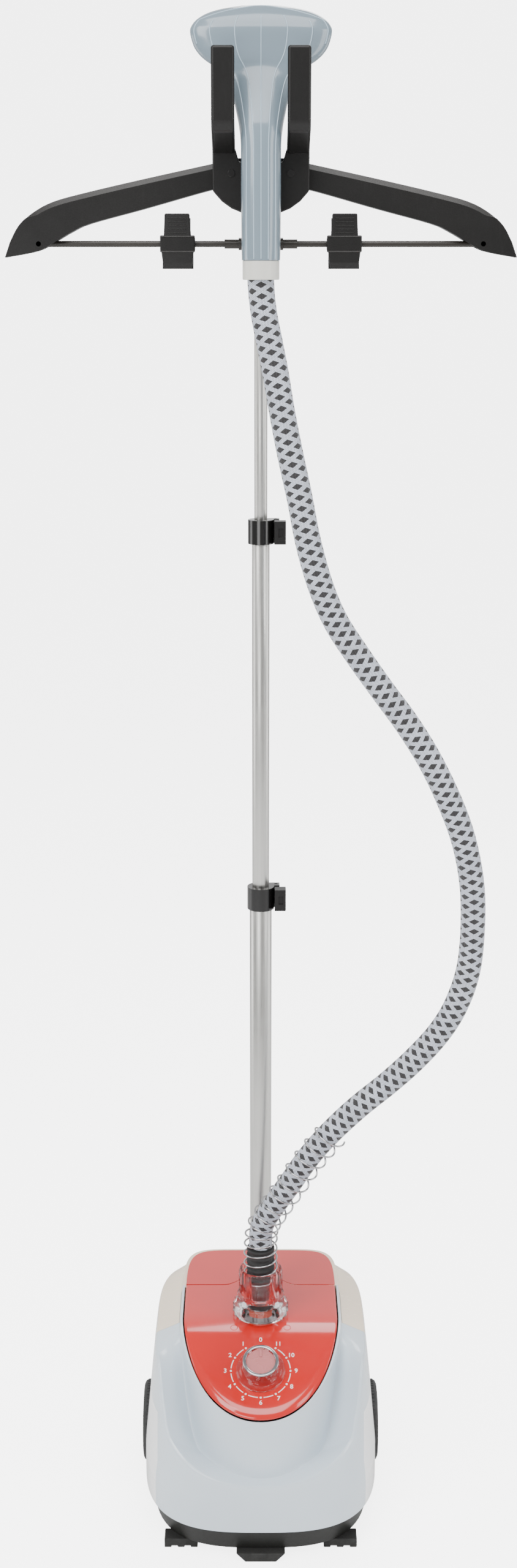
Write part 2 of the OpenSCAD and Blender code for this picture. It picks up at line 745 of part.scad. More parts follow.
module head_form(inset, from_z) {
  intersection() {
    loft([for (h = head_rings) [for (j = [0:39])
      let (a = 9 * j, w = max(h[1] - inset, 1), d = max(h[2] - inset, 1))
      [w * spow(cos(a), 2 / h[4]), h[3] + d * spow(sin(a), 2 / h[4]),
       h[0] - (h[0] > 1640 ? inset : 0) - (inset > 0 && h[0] < 1423 ? 1 : 0)]]]);
    translate([-100, -100, from_z]) cube([200, 100 + plate_y - (inset > 0 ? 1 : 0), 400]);
  }
}

module handset_shell() {
  color([0.59, 0.65, 0.69]) difference() {
    head_form(0, 1422);
    head_form(2.6, 1400);
    translate([0, handle_y, 1400]) cylinder(r = 16, h = 30);
    for (s = [-1, 1]) translate([s * plate_screw[0], plate_y + 4, plate_screw[1]]) rotate([90, 0, 0])
      cylinder(r = 1.5, h = 10);
  }
}

// Fan-shaped outline of the steam plate
function plate_outline(g) = concat(
  [for (a = [0:10:180]) [(62 - g) * cos(a), 1636 + (a > 0 && a < 180 ? (22 - g) * sin(a) : 0)]],
  [[-50 + g, 1621 + g], [-34 + g, 1612 + g], [34 - g, 1612 + g], [50 - g, 1621 + g]]);

module steam_plate() {
  color([0.75, 0.76, 0.77]) translate([0, plate_y + 3, 0]) rotate([90, 0, 0]) difference() {
    linear_extrude(3) polygon(plate_outline(0));
    for (i = [-4:4]) translate([12 * i, 1644 - 0.1 * i * i, -1]) cylinder(r = 1.6, h = 6);
    for (i = [-3:3]) translate([12 * i, 1626, -1]) cylinder(r = 1.6, h = 6);
    for (s = [-1, 1]) translate([s * plate_screw[0], plate_screw[1], -1]) cylinder(r = 1.5, h = 6);
  }
}

module steam_duct() {
  color([0.85, 0.85, 0.83]) translate([0, handle_y, 0]) tube(7, 5, 1458, 1560);
  color([0.85, 0.85, 0.83]) translate([0, handle_y, 0]) tube(12, 7, 1458, 1462);
}

module handset_collar() {
  color([0.87, 0.87, 0.84]) translate([0, handle_y, 0]) {
    tube(18.6, hose_r + 0.6, 1403, 1422);
    tube(16, hose_r + 0.6, 1422, 1429);
  }
}

module handset_screws() {
  color([0.6, 0.6, 0.6]) for (s = [-1, 1])
    translate([s * plate_screw[0], plate_y + 3.8, plate_screw[1]]) rotate([90, 0, 0]) {
    cylinder(r = 3, h = 0.8);
    cylinder(r = 1.4, h = 9);
  }
}

// ---- hose ----

module hose() {
  n = 80;
  last = len(hose_route) - 1;
  color([0.78, 0.8, 0.86]) loft([for (i = [0:n - 1])
    let (s = last * i / (n - 1), p = route_pt(guard_route, s), t = route_dir(guard_route, s))
    [for (j = [0:9]) around(p, t, hose_r, 36 * j)]]);
}

// Ribbed end sleeve where the hose enters the nut
module hose_cuff() {
  color([0.1, 0.1, 0.1]) {
    tube(14.4, 9.2, 234, cuff_top_z);
    for (i = [0:7]) tube(16.2, 14, 250 + 8 * i, 254 + 8 * i);
  }
}

// Wire guard wound around the cuff and the hose above the nut
module hose_spring() {
  turns = 15;
  steps = 12 * turns;
  s_low = len(guard_route) - 1;
  s_high = len(guard_route) - 8;
  color([0.75, 0.75, 0.76]) loft([for (i = [0:steps])
    let (
      s = s_low + (s_high - s_low) * i / steps,
      p = route_pt(guard_route, s),
      t = route_dir(guard_route, s),
      a = 360 * turns * i / steps,
      c = around(p, t, 19, a),
      out = unit(c - p)
    )
    [for (j = [0:4]) c + 0.9 * (cos(72 * j) * out + sin(72 * j) * t)]]);
}

base_tray();
front_foot();
corner_feet();
front_shell();
side_panel(-1);  // side_panel_left
side_panel(1);  // side_panel_right
control_panel();
boiler_body();
boiler_cover();
heater_element();
thermostat();
feed_tube();
outlet_spout();
outlet_seal();
well_seat();
dial_switch();
axle();
base_screws();
cable_gland();
mast_socket();
tube_lower();
clamp(clamp_z1, clamp_r1, tube_r1, tube_r2);  // clamp_lower
water_tank();
tank_lid();
tank_cap();
dial_knob();
dial_insert();
hose_nut();
flip(-1) tyre();  // tyre_left
flip(-1) wheel_hub();  // wheel_hub_left
tyre();  // tyre_right
wheel_hub();  // wheel_hub_right
lever(clamp_z1, clamp_r1);  // lever_lower
lever(clamp_z2, clamp_r2);  // lever_upper
tube_middle();
bush_middle();
clamp(clamp_z2, clamp_r2, tube_r2, tube_r3);  // clamp_upper
tube_upper();
bush_upper();
hanger_hub();
fork();
rod_boss();
arm_screws();
flip(-1) arm();  // arm_left
flip(-1) rod();  // rod_left
arm();  // arm_right
rod();  // rod_right
flip(-1) clip();  // clip_left
flip(-1) clip_jaw();  // clip_jaw_left
clip();  // clip_right
clip_jaw();  // clip_jaw_right
handset_shell();
steam_plate();
steam_duct();
handset_collar();
handset_screws();
hose();
hose_cuff();
hose_spring();
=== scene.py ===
"""Upright garment steamer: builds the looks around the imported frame. Laid out as an add-on and run as a script."""

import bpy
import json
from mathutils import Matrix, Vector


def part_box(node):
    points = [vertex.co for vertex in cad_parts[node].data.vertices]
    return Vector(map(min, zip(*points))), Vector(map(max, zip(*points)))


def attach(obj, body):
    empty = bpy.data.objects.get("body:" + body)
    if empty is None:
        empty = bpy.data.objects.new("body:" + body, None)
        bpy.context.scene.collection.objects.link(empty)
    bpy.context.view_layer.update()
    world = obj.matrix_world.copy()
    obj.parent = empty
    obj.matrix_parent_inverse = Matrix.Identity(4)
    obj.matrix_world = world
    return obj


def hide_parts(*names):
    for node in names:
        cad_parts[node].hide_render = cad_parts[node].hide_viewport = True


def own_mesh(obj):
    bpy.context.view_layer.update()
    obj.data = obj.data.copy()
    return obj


bl_info = {
    "name": "Garment Steamer",
    "version": (1, 0, 0),
    "blender": (4, 5, 0),
    "location": "View3D > Sidebar > Steamer",
    "description": "Builds an upright garment steamer around its CAD frame",
    "category": "Object",
}

import json
import math
from contextlib import contextmanager

import bmesh
import bpy
from bpy.props import FloatProperty, FloatVectorProperty, IntProperty, PointerProperty
from mathutils import Matrix, Vector

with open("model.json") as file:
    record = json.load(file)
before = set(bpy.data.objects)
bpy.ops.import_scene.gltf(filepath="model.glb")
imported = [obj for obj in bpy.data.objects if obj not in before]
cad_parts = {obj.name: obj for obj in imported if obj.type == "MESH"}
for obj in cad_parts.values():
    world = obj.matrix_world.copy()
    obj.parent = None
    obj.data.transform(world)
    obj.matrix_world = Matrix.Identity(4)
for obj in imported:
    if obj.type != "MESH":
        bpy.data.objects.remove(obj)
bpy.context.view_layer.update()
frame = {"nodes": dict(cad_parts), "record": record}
NODE_BODY = {n: b for b, nodes in frame["record"]["behaviour"]["bodies"].items() for n in nodes}
MM = 0.001
FULL = 2 * math.pi


# ---------------------------------------------------------------- sizes and colours


def tone(label, value, about):
    """A colour property with its default."""
    return FloatVectorProperty(name=label, description=about, default=value, size=3, min=0.0, max=1.0, subtype="COLOR")


def length(label, value, about):
    """A length property with its default, in metres."""
    return FloatProperty(name=label, description=about, default=value, min=0.0, unit="LENGTH")


class SteamerSizes(bpy.types.PropertyGroup):
    """Sizes that a user would change."""

    body_width: length("Body width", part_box("side_panel_right")[1][0] * 2, "Width of the steam base's covers")
    body_depth: length("Body depth", -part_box("front_shell")[0][1] * 2, "Depth of the steam base's covers")
    cover_wall: length("Cover wall", 2.4 * MM, "Thickness of the moulded covers")
    seam_round: length("Seam rounding", 0.7 * MM, "Rounding of the covers' edges along their seams")
    panel_round: length("Panel rounding", 2.2 * MM, "Rounding of the red panel's rim")
    hose_diameter: length("Hose diameter", 27 * MM, "Outer diameter of the braided hose")
    wire_diameter: length("Guard wire", 2.1 * MM, "Diameter of the spring guard's wire")
    guard_turns: IntProperty(name="Guard turns", description="Turns of the spring guard", default=15, min=3, max=40)
    rib_height: length("Rib height", 0.6 * MM, "Radius of the fine ribs on the steam head")
    grips: IntProperty(name="Nut ribs", description="Grip ribs round the hose nut", default=18, min=6, max=40)


class SteamerColours(bpy.types.PropertyGroup):
    """Colours that a user would change."""

    shell: tone("Shell", (0.63, 0.71, 0.775), "Grey-blue front shell")
    cover: tone("Side covers", (0.95, 0.95, 0.955), "White side covers")
    panel: tone("Panel", (0.60, 0.013, 0.010), "Red control panel and tank lid")
    tank: tone("Tank", (0.88, 0.755, 0.60), "Cream water tank")
    tray: tone("Tray", (0.016, 0.016, 0.0145), "Dark base tray and feet")
    black: tone("Black", (0.0095, 0.009, 0.0087), "Black mouldings of the hanger and the clamps")
    handset: tone("Handset", (0.185, 0.240, 0.282), "Blue-grey handset")
    collar: tone("Collar", (0.66, 0.655, 0.60), "Cream collar")
    yarn: tone("Yarn", (0.60, 0.64, 0.74), "Pale yarn of the hose braid")
    mark: tone("Marks", (0.014, 0.013, 0.014), "Dark yarn of the hose braid")


def sizes():
    """The steamer's sizes in this scene."""
    return bpy.context.scene.steamer_sizes


def colours():
    """The steamer's colours in this scene."""
    return bpy.context.scene.steamer_colours


# ---------------------------------------------------------------- materials


class Nodes:
    """Adds and joins the nodes of one tree."""

    prefix = ""

    def __init__(self, tree):
        self.tree = tree

    def feed(self, socket, value):
        """Joins another node's output to the socket, or sets the socket's own value."""
        if isinstance(value, bpy.types.NodeSocket):
            self.tree.links.new(value, socket)
        else:
            socket.default_value = value

    def add(self, kind, settings=None, **inputs):
        """A new node; inputs go by name, with _ for a space, or by place, as i0 and i1."""
        node = self.tree.nodes.new(self.prefix + kind)
        for key, value in (settings or {}).items():
            setattr(node, key, value)
        for key, value in inputs.items():
            number = key[1:]
            socket = int(number) if key[0] == "i" and number.isdigit() else key.replace("_", " ")
            self.feed(node.inputs[socket], value)
        return node


class ShaderNodes(Nodes):
    """Nodes of a material or of the world."""

    prefix = "ShaderNode"

    def math(self, operation, a, b=0.5, c=0.5):
        return self.add("Math", {"operation": operation}, i0=a, i1=b, i2=c).outputs[0]

    def spread(self, value, low, high, at=(0.3, 0.7)):
        """The value's stretch between the two numbers in at, spread over low to high."""
        return self.add("MapRange", {"clamp": True}, Value=value, From_Min=at[0], From_Max=at[1], To_Min=low,
                        To_Max=high).outputs[0]


class Finish(ShaderNodes):
    """One procedural material, built node by node."""

    def __init__(self, name):
        self.material = bpy.data.materials.new(name)
        self.material.use_nodes = True
        super().__init__(self.material.node_tree)
        self.shader = self.tree.nodes["Principled BSDF"]

    def set(self, **values):
        for key, value in values.items():
            self.feed(self.shader.inputs[key.replace("_", " ")], value)

    def coords(self, stretch=(1, 1, 1)):
        place = self.add("TexCoord").outputs["Object"]
        return self.add("Mapping", Vector=place, Scale=stretch).outputs[0]

    def noise(self, where, scale, detail=3.0, rough=0.5):
        return self.add("TexNoise", Vector=where, Scale=scale, Detail=detail, Roughness=rough).outputs["Fac"]

    def blend(self, share, first, second):
        node = self.add("Mix", {"data_type": "RGBA"})
        self.feed(node.inputs["Factor"], share)
        for socket, value in ((node.inputs[6], first), (node.inputs[7], second)):
            self.feed(socket, value if isinstance(value, bpy.types.NodeSocket) else (*value, 1.0))
        return node.outputs[2]

    def relief(self, height, strength, depth, after=None):
        node = self.add("Bump", Height=height, Strength=strength, Distance=depth)
        if after is not None:
            self.feed(node.inputs["Normal"], after)
        return node.outputs[0]


def shade(colour, factor):
    """The colour made darker or lighter."""
    return tuple(min(1.0, c * factor) for c in colour)


def moulded(name, colour, rough=0.2, grain=900.0, grain_depth=0.00004, ripple=0.00025, coat=0.0, spread=0.035,
            gloss=0.5):
    """Moulded plastic: slight tone drift, flow ripple, fine grain, handling scuffs."""
    f = Finish(name)
    where = f.coords()
    drift = f.noise(where, 7.0, 2.0)
    scuffs = f.noise(f.coords((220, 220, 26)), 1.0, 6.0, 0.7)
    dust = f.noise(where, 60.0, 5.0, 0.65)
    f.set(Base_Color=f.blend(f.spread(drift, 0.0, 1.0), shade(colour, 1 - spread), shade(colour, 1 + spread)))
    wear = f.math("ADD", f.spread(dust, 0.0, 0.05), f.spread(scuffs, 0.0, 0.09, (0.55, 0.8)))
    f.set(Roughness=f.math("ADD", wear, rough))
    flow = f.relief(f.noise(where, 14.0, 1.0), 0.35, ripple)
    skin = f.relief(f.noise(where, grain, 2.0), 0.5, grain_depth, flow)
    f.set(Normal=skin, IOR=1.5)
    f.set(Coat_Weight=coat, Coat_Roughness=0.06, Specular_IOR_Level=gloss)
    return f.material


def rubbery(name, colour):
    """Matt moulded rubber with a pebbled skin and pale dust."""
    f = Finish(name)
    where = f.coords()
    dust = f.spread(f.noise(where, 45.0, 6.0, 0.7), 0.0, 0.35, (0.45, 0.8))
    f.set(Base_Color=f.blend(dust, colour, shade(colour, 2.2)))
    f.set(Roughness=f.spread(f.noise(where, 120.0, 3.0), 0.62, 0.85))
    f.set(Normal=f.relief(f.noise(where, 1400.0, 2.0), 0.6, 0.00008))
    return f.material


def metal(name, colour, rough, stretch=(1, 1, 1), depth=0.00003, aniso=0.0):
    """Metal with drawn or brushed lines along the axis that is least stretched."""
    f = Finish(name)
    where = f.coords(stretch)
    lines = f.noise(where, 1.0, 6.0, 0.75)
    smudge = f.noise(f.coords(), 22.0, 4.0, 0.6)
    f.set(Metallic=1.0, Base_Color=f.blend(f.spread(lines, 0, 1), shade(colour, 0.88), shade(colour, 1.06)))
    f.set(Roughness=f.math("ADD", f.spread(lines, rough * 0.75, rough * 1.25), f.spread(smudge, 0.0, 0.09)))
    f.set(Normal=f.relief(lines, 0.4, depth))
    f.set(Anisotropic=aniso)
    return f.material


def clear(name, colour, rough=0.008):
    """Clear moulded plastic with faint flow lines and fingerprints."""
    f = Finish(name)
    where = f.coords()
    prints = f.noise(where, 90.0, 4.0, 0.6)
    f.set(Base_Color=f.blend(f.spread(prints, 0, 1), colour, shade(colour, 0.96)))
    f.set(Roughness=f.spread(prints, rough, rough + 0.012))
    f.set(Normal=f.relief(f.noise(where, 90.0, 2.0), 0.15, 0.0001))
    f.set(Transmission_Weight=1.0, IOR=1.13, Coat_Weight=0.35, Coat_Roughness=0.01)
    return f.material


def braid(name, yarn, mark, rows):
    """Two families of yarn crossing round a hose; dark yarns show as stepped diamonds in a staggered lattice.

    The piece's UV map runs once round the hose in x and along it in y; rows is the count of diamonds per unit of y.
    """
    yarns = 7.0
    dark_yarns = 2.1
    diamonds_round = 4.0
    f = Finish(name)
    uv = f.add("UVMap").outputs[0]
    split = f.add("SeparateXYZ", Vector=uv)
    turn = f.math("MULTIPLY", split.outputs[0], diamonds_round)
    along = f.math("MULTIPLY", split.outputs[1], rows)
    shares, cells, dark = [], [], []
    for operation in ("ADD", "SUBTRACT"):
        lattice = f.math(operation, turn, along)
        strand = f.math("MULTIPLY", lattice, yarns)
        shares.append(f.math("FRACT", strand))
        cells.append(f.math("FLOOR", strand))
        middle = f.math("DIVIDE", f.math("ADD", cells[-1], 0.5), yarns)
        dark.append(f.math("LESS_THAN", f.math("PINGPONG", middle, 0.5), dark_yarns / yarns))
    over = f.math("FLOORED_MODULO", f.math("ADD", cells[0], cells[1]), 2.0)
    crowns = [f.math("SINE", f.math("MULTIPLY", share, math.pi)) for share in shares]
    picked = f.math("ADD", f.math("MULTIPLY", crowns[0], over),
                    f.math("MULTIPLY", crowns[1], f.math("SUBTRACT", 1.0, over)))
    is_mark = f.math("MULTIPLY", dark[0], dark[1])
    fibre = f.noise(f.coords(), 1700.0, 3.0, 0.6)
    tint = f.noise(f.coords(), 55.0, 4.0, 0.6)
    pale = f.blend(f.spread(tint, 0.0, 1.0), shade(yarn, 0.9), shade(yarn, 1.22))
    # Yarn darker in the dips at each strand's edges and lighter on its crown: painted shade and painted highlight of
    # the weave
    pale = f.blend(f.spread(picked, 0.0, 1.0, (0.1, 0.8)), shade(yarn, 0.42), pale)
    deep = f.blend(f.spread(picked, 0.0, 1.0, (0.1, 0.8)), shade(mark, 0.5), shade(mark, 1.6))
    f.set(Base_Color=f.blend(is_mark, pale, deep))
    f.set(Roughness=f.spread(fibre, 0.48, 0.75))
    f.set(Sheen_Weight=0.25, Sheen_Roughness=0.4)
    weave = f.relief(picked, 0.9, 0.0005)
    f.set(Normal=f.relief(fibre, 0.35, 0.0001, weave))
    return f.material


# Each material: how it is made, its colour (a colour property or a value), its shade and its options
LOOKS = {
    "grey_blue_shell": (moulded, "shell", 1, {"rough": 0.13, "coat": 0.35}),
    "white_cover": (moulded, "cover", 1, {"rough": 0.15, "coat": 0.3}),
    "red_panel_gloss": (moulded, "panel", 1, {"rough": 0.1, "coat": 0.6, "spread": 0.05}),
    "cream_tank": (moulded, "tank", 1, {"rough": 0.22, "coat": 0.15}),
    "dark_tray": (moulded, "tray", 1, {"rough": 0.42, "grain": 700.0, "grain_depth": 0.00012, "ripple": 0.0003,
                                       "spread": 0.15, "gloss": 0.3}),
    "foot_rubber": (rubbery, "tray", 0.8, {}),
    "black_satin_moulding": (moulded, "black", 1, {"rough": 0.34, "grain": 1100.0, "grain_depth": 0.00009,
                                                   "ripple": 0.0003, "spread": 0.2, "gloss": 0.28}),
    "black_gloss_moulding": (moulded, "black", 0.7, {"rough": 0.14, "coat": 0.3, "spread": 0.1, "gloss": 0.35}),
    # Black made three times lighter: a painted highlight on the arms' chamfer band and along the clips' edges
    "black_worn_edge": (moulded, "black", 3, {"rough": 0.36, "grain": 1100.0, "grain_depth": 0.00009,
                                              "ripple": 0.0003, "spread": 0.3, "gloss": 0.35}),
    "handset_blue": (moulded, "handset", 1, {"rough": 0.14, "coat": 0.4}),
    # Handset colour made lighter: a painted highlight on the steam head's ribs and rim bead
    "handset_ridge": (moulded, "handset", 1.9, {"rough": 0.2, "coat": 0.3}),
    "collar_cream": (moulded, "collar", 1, {"rough": 0.3}),
    "satin_tube": (metal, (0.56, 0.555, 0.53), 1, {"rough": 0.3, "stretch": (900, 900, 7), "depth": 0.00002,
                                                   "aniso": 0.3}),
    "brushed_steel": (metal, (0.58, 0.58, 0.57), 1, {"rough": 0.28, "stretch": (60, 900, 900)}),
    "bright_wire": (metal, (0.42, 0.42, 0.43), 1, {"rough": 0.12, "stretch": (140, 140, 140)}),
    "cast_aluminium": (metal, (0.52, 0.52, 0.53), 1, {"rough": 0.5, "stretch": (90, 90, 90), "depth": 0.0002}),
    "blackened_rod": (moulded, (0.020, 0.017, 0.014), 1, {"rough": 0.32, "grain": 1500.0, "grain_depth": 0.00002,
                                                          "ripple": 0.0001, "spread": 0.25, "gloss": 0.4}),
    "clear_moulding": (clear, (0.97, 0.965, 0.97), 1, {}),
    "sleeve_rubber": (rubbery, (0.018, 0.017, 0.017), 1, {}),
    "tyre_rubber": (rubbery, (0.022, 0.022, 0.022), 1, {}),
    "white_print": (moulded, (0.95, 0.92, 0.91), 1, {"rough": 0.35}),
    "pink_disc": (moulded, (0.56, 0.19, 0.19), 1, {"rough": 0.25, "coat": 0.5, "spread": 0.12}),
    "ivory_switch": (moulded, (0.72, 0.70, 0.62), 1, {"rough": 0.3}),
    "milky_silicone": (moulded, (0.75, 0.75, 0.72), 1, {"rough": 0.4}),
    "red_silicone": (moulded, (0.45, 0.06, 0.03), 1, {"rough": 0.45}),
    "white_duct": (moulded, (0.78, 0.78, 0.76), 1, {"rough": 0.35}),
}
PAINTED = {}


def paint(name):
    """The material of that name, built once from its row of LOOKS."""
    if name not in PAINTED:
        make, colour, factor, options = LOOKS[name]
        if isinstance(colour, str):
            colour = tuple(getattr(colours(), colour))
        PAINTED[name] = make(name, shade(colour, factor), **options)
    return PAINTED[name]


# ---------------------------------------------------------------- mesh helpers


def link(obj):
    """Puts the object into the scene."""
    bpy.context.scene.collection.objects.link(obj)
    return obj


def object_from(name, work):
    """A mesh object from a finished bmesh."""
    mesh = bpy.data.meshes.new(name)
    work.to_mesh(mesh)
    work.free()
    return link(bpy.data.objects.new(name, mesh))


@contextmanager
def editing(mesh):
    """The mesh opened for edits, which are written back at the end."""
    work = bmesh.new()
    work.from_mesh(mesh)
    yield work
    work.to_mesh(mesh)
    work.free()


def piece_from(name, points, faces, material):
    """A smooth mesh object at the origin."""
    mesh = bpy.data.meshes.new(name)
    mesh.from_pydata([tuple(p) for p in points], [], faces)
    mesh.validate()
    mesh.materials.append(material)
    mesh.shade_smooth()
    return link(bpy.data.objects.new(name, mesh))


def grid_faces(rows, columns):
    """Quads over a grid of rows by columns, each row a closed ring."""
    return [(r * columns + c, r * columns + (c + 1) % columns, (r + 1) * columns + (c + 1) % columns,
             (r + 1) * columns + c) for r in range(rows - 1) for c in range(columns)]


def mend(obj, merge=None):
    """Joins double vertices and turns the faces outwards."""
    with editing(obj.data) as work:
        if merge:
            bmesh.ops.remove_doubles(work, verts=work.verts, dist=merge)
        bmesh.ops.recalc_face_normals(work, faces=work.faces)
    return obj


def settle(obj):
    """Turns the object's modifiers into its plain mesh."""
    bpy.context.view_layer.update()
    shown = obj.evaluated_get(bpy.context.evaluated_depsgraph_get())
    mesh = bpy.data.meshes.new_from_object(shown)
    obj.modifiers.clear()
    obj.data = mesh
    mesh.name = obj.name
    return obj


def soften(obj, width, segments=2, angle=32.0):
    """Rounds the sharp edges and keeps the flats' shading true."""
    bevel = obj.modifiers.new("Round", "BEVEL")
    bevel.width = width
    bevel.segments = segments
    bevel.limit_method = "ANGLE"
    bevel.angle_limit = math.radians(angle)
    bevel.use_clamp_overlap = True
    obj.data.shade_smooth()
    normals = obj.modifiers.new("Flats", "WEIGHTED_NORMAL")
    normals.keep_sharp = True
    return settle(obj)


def thicken(obj, wall):
    """Gives a sheet its wall, inwards from its face."""
    solid = obj.modifiers.new("Wall", "SOLIDIFY")
    solid.thickness = wall
    solid.offset = -1.0
    solid.use_even_offset = False
    return obj


def cut_away(obj, cutter):
    """Takes the cutter's room out of the piece."""
    take = obj.modifiers.new("Cut", "BOOLEAN")
    take.operation = "DIFFERENCE"
    take.object = cutter
    take.solver = "EXACT"
    settle(obj)
    bpy.data.objects.remove(cutter)
    return obj


def place(obj, node, stands_for=True):
    """Rides the piece on its node's body and, where it stands for the node, hides that."""
    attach(obj, NODE_BODY[node])
    if stands_for:
        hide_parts(node)
    return obj


def refined(node, look, width=0.6 * MM, segments=2, angle=32.0, name=None):
    """A cleaned copy of a CAD node with rounded edges, which stands for that node."""
    obj = link(bpy.data.objects.new(name or node + "_finish", frame["nodes"][node].data.copy()))
    with editing(obj.data) as work:
        bmesh.ops.remove_doubles(work, verts=work.verts, dist=0.01 * MM)
        bmesh.ops.dissolve_limit(work, angle_limit=math.radians(0.6), verts=work.verts, edges=work.edges)
    obj.data.materials.clear()
    obj.data.materials.append(paint(look))
    soften(obj, width, segments, angle)
    return place(obj, node)


def cylinder(name, radius, depth, sides=64, axis="Z", at=(0, 0, 0)):
    """A plain round cutter or template."""
    work = bmesh.new()
    bmesh.ops.create_cone(work, cap_ends=True, segments=sides, radius1=radius, radius2=radius, depth=depth)
    turn = {"Z": Matrix(), "X": Matrix.Rotation(math.pi / 2, 4, "Y"), "Y": Matrix.Rotation(math.pi / 2, 4, "X")}
    bmesh.ops.transform(work, matrix=Matrix.Translation(at) @ turn[axis], verts=work.verts)
    return object_from(name, work)


def prism(name, outline, plane, low, high, round_=0.5 * MM, segments=3):
    """An outline in millimetres, drawn out along the axis square to its plane, with rounded edges."""
    order = {"XZ": lambda u, v, w: (u, w, v), "YZ": lambda u, v, w: (w, u, v), "XY": lambda u, v, w: (u, v, w)}[plane]
    count = len(outline)
    points = [order(u * MM, v * MM, w * MM) for w in (low, high) for u, v in outline]
    faces = [(i, (i + 1) % count, count + (i + 1) % count, count + i) for i in range(count)]
    faces += [tuple(range(count)), tuple(range(2 * count - 1, count - 1, -1))]
    obj = mend(piece_from(name, points, faces, paint("black_satin_moulding")))
    return soften(obj, round_, segments, 25)


def lathe(name, profile, material, sides=96, where=None, ribs=0):
    """A closed turned piece: profile is a ring of (radius, height) points going round the section.

    A point's third number is how far the grip ribs stand out there; ribs is how many go round.
    """
    points = []
    for s in range(sides):
        angle = FULL * s / sides
        stand = ease(math.cos(ribs * angle), 0.45, 0.9) if ribs else 0.0
        for radius, z, *rib in profile:
            out = radius + stand * sum(rib)
            points.append((out * math.cos(angle), out * math.sin(angle), z))
    count = len(profile)
    faces = [(s * count + k, ((s + 1) % sides) * count + k, ((s + 1) % sides) * count + (k + 1) % count,
              s * count + (k + 1) % count) for s in range(sides) for k in range(count)]
    obj = piece_from(name, points, faces, material)
    if where is not None:
        obj.data.transform(where)
    return mend(obj, 0.005 * MM)


def in_metres(profile):
    """A profile given in millimetres."""
    return [tuple(value * MM for value in point) for point in profile]


def join(name, parts):
    """One piece from several plain meshes."""
    work = bmesh.new()
    materials = []
    for part in parts:
        shift = len(materials)
        materials += list(part.data.materials)
        start = len(work.faces)
        work.from_mesh(part.data)
        work.faces.ensure_lookup_table()
        for face in work.faces[start:]:
            face.material_index += shift
        bpy.data.objects.remove(part)
    whole = object_from(name, work)
    for material in materials:
        whole.data.materials.append(material)
    return whole


# ---------------------------------------------------------------- geometry node trees


SOCKETS = {"Float": "NodeSocketFloat", "Int": "NodeSocketInt", "Object": "NodeSocketObject",
           "Material": "NodeSocketMaterial", "Vector": "NodeSocketVector"}


class Tree(Nodes):
    """A geometry node tree with named inputs that ends in Realize Instances and Set Material."""

    def __init__(self, name, **inputs):
        super().__init__(bpy.data.node_groups.new(name, "GeometryNodeTree"))
        face = self.tree.interface
        face.new_socket("Geometry", in_out="INPUT", socket_type="NodeSocketGeometry")
        for label, kind in {**inputs, "Material": "Material"}.items():
            face.new_socket(label.replace("_", " "), in_out="INPUT", socket_type=SOCKETS[kind])
        face.new_socket("Geometry", in_out="OUTPUT", socket_type="NodeSocketGeometry")
        self.source = self.add("NodeGroupInput")

    def value(self, label):
        return self.source.outputs[label]

    def finish(self, geometry):
        real = self.add("GeometryNodeRealizeInstances", i0=geometry)
        paint = self.add("GeometryNodeSetMaterial", Geometry=real.outputs[0], Material=self.value("Material"))
        smooth = self.add("GeometryNodeSetShadeSmooth", i0=paint.outputs[0])
        self.add("NodeGroupOutput", i0=smooth.outputs[0])
        return self.tree


def wire_tree():
    """A round wire swept along the mesh's edges."""
    tree = Tree("Round wire", Radius="Float", Sides="Int")
    line = tree.add("GeometryNodeMeshToCurve", Mesh=tree.value("Geometry"))
    section = tree.add("GeometryNodeCurvePrimitiveCircle", Radius=tree.value("Radius"), Resolution=tree.value("Sides"))
    swept = tree.add("GeometryNodeCurveToMesh", Curve=line.outputs[0], Profile_Curve=section.outputs[0], Fill_Caps=True)
    return tree.finish(swept.outputs[0])


def ring_tree():
    """Copies of a template set round an upright axis, turned to face outwards."""
    tree = Tree("Ring of copies", Template="Object", Count="Int", Radius="Float", Height="Float", Start="Float")
    ring = tree.add("GeometryNodeMeshCircle", Vertices=tree.value("Count"), Radius=tree.value("Radius"))
    lift = tree.add("ShaderNodeCombineXYZ", Z=tree.value("Height"))
    raised = tree.add("GeometryNodeSetPosition", Geometry=ring.outputs[0], Offset=lift.outputs[0])
    step = tree.add("ShaderNodeMath", {"operation": "DIVIDE"}, i0=FULL, i1=tree.value("Count"))
    angle = tree.add("ShaderNodeMath", {"operation": "MULTIPLY"}, i0=tree.add("GeometryNodeInputIndex").outputs[0],
                     i1=step.outputs[0])
    turn = tree.add("ShaderNodeCombineXYZ", Z=angle.outputs[0])
    template = tree.add("GeometryNodeObjectInfo", Object=tree.value("Template"))
    copies = tree.add("GeometryNodeInstanceOnPoints", Points=raised.outputs[0], Instance=template.outputs["Geometry"],
                      Rotation=turn.outputs[0])
    whole = tree.add("ShaderNodeCombineXYZ", Z=tree.value("Start"))
    turned = tree.add("GeometryNodeTransform", Geometry=copies.outputs[0], Rotation=whole.outputs[0])
    return tree.finish(turned.outputs[0])


def scatter_tree():
    """Copies of a template on the mesh's points, all turned alike."""
    tree = Tree("Copies on points", Template="Object", Turn="Vector")
    template = tree.add("GeometryNodeObjectInfo", Object=tree.value("Template"))
    copies = tree.add("GeometryNodeInstanceOnPoints", Points=tree.value("Geometry"),
                      Instance=template.outputs["Geometry"], Rotation=tree.value("Turn"))
    return tree.finish(copies.outputs[0])


TREES = {}


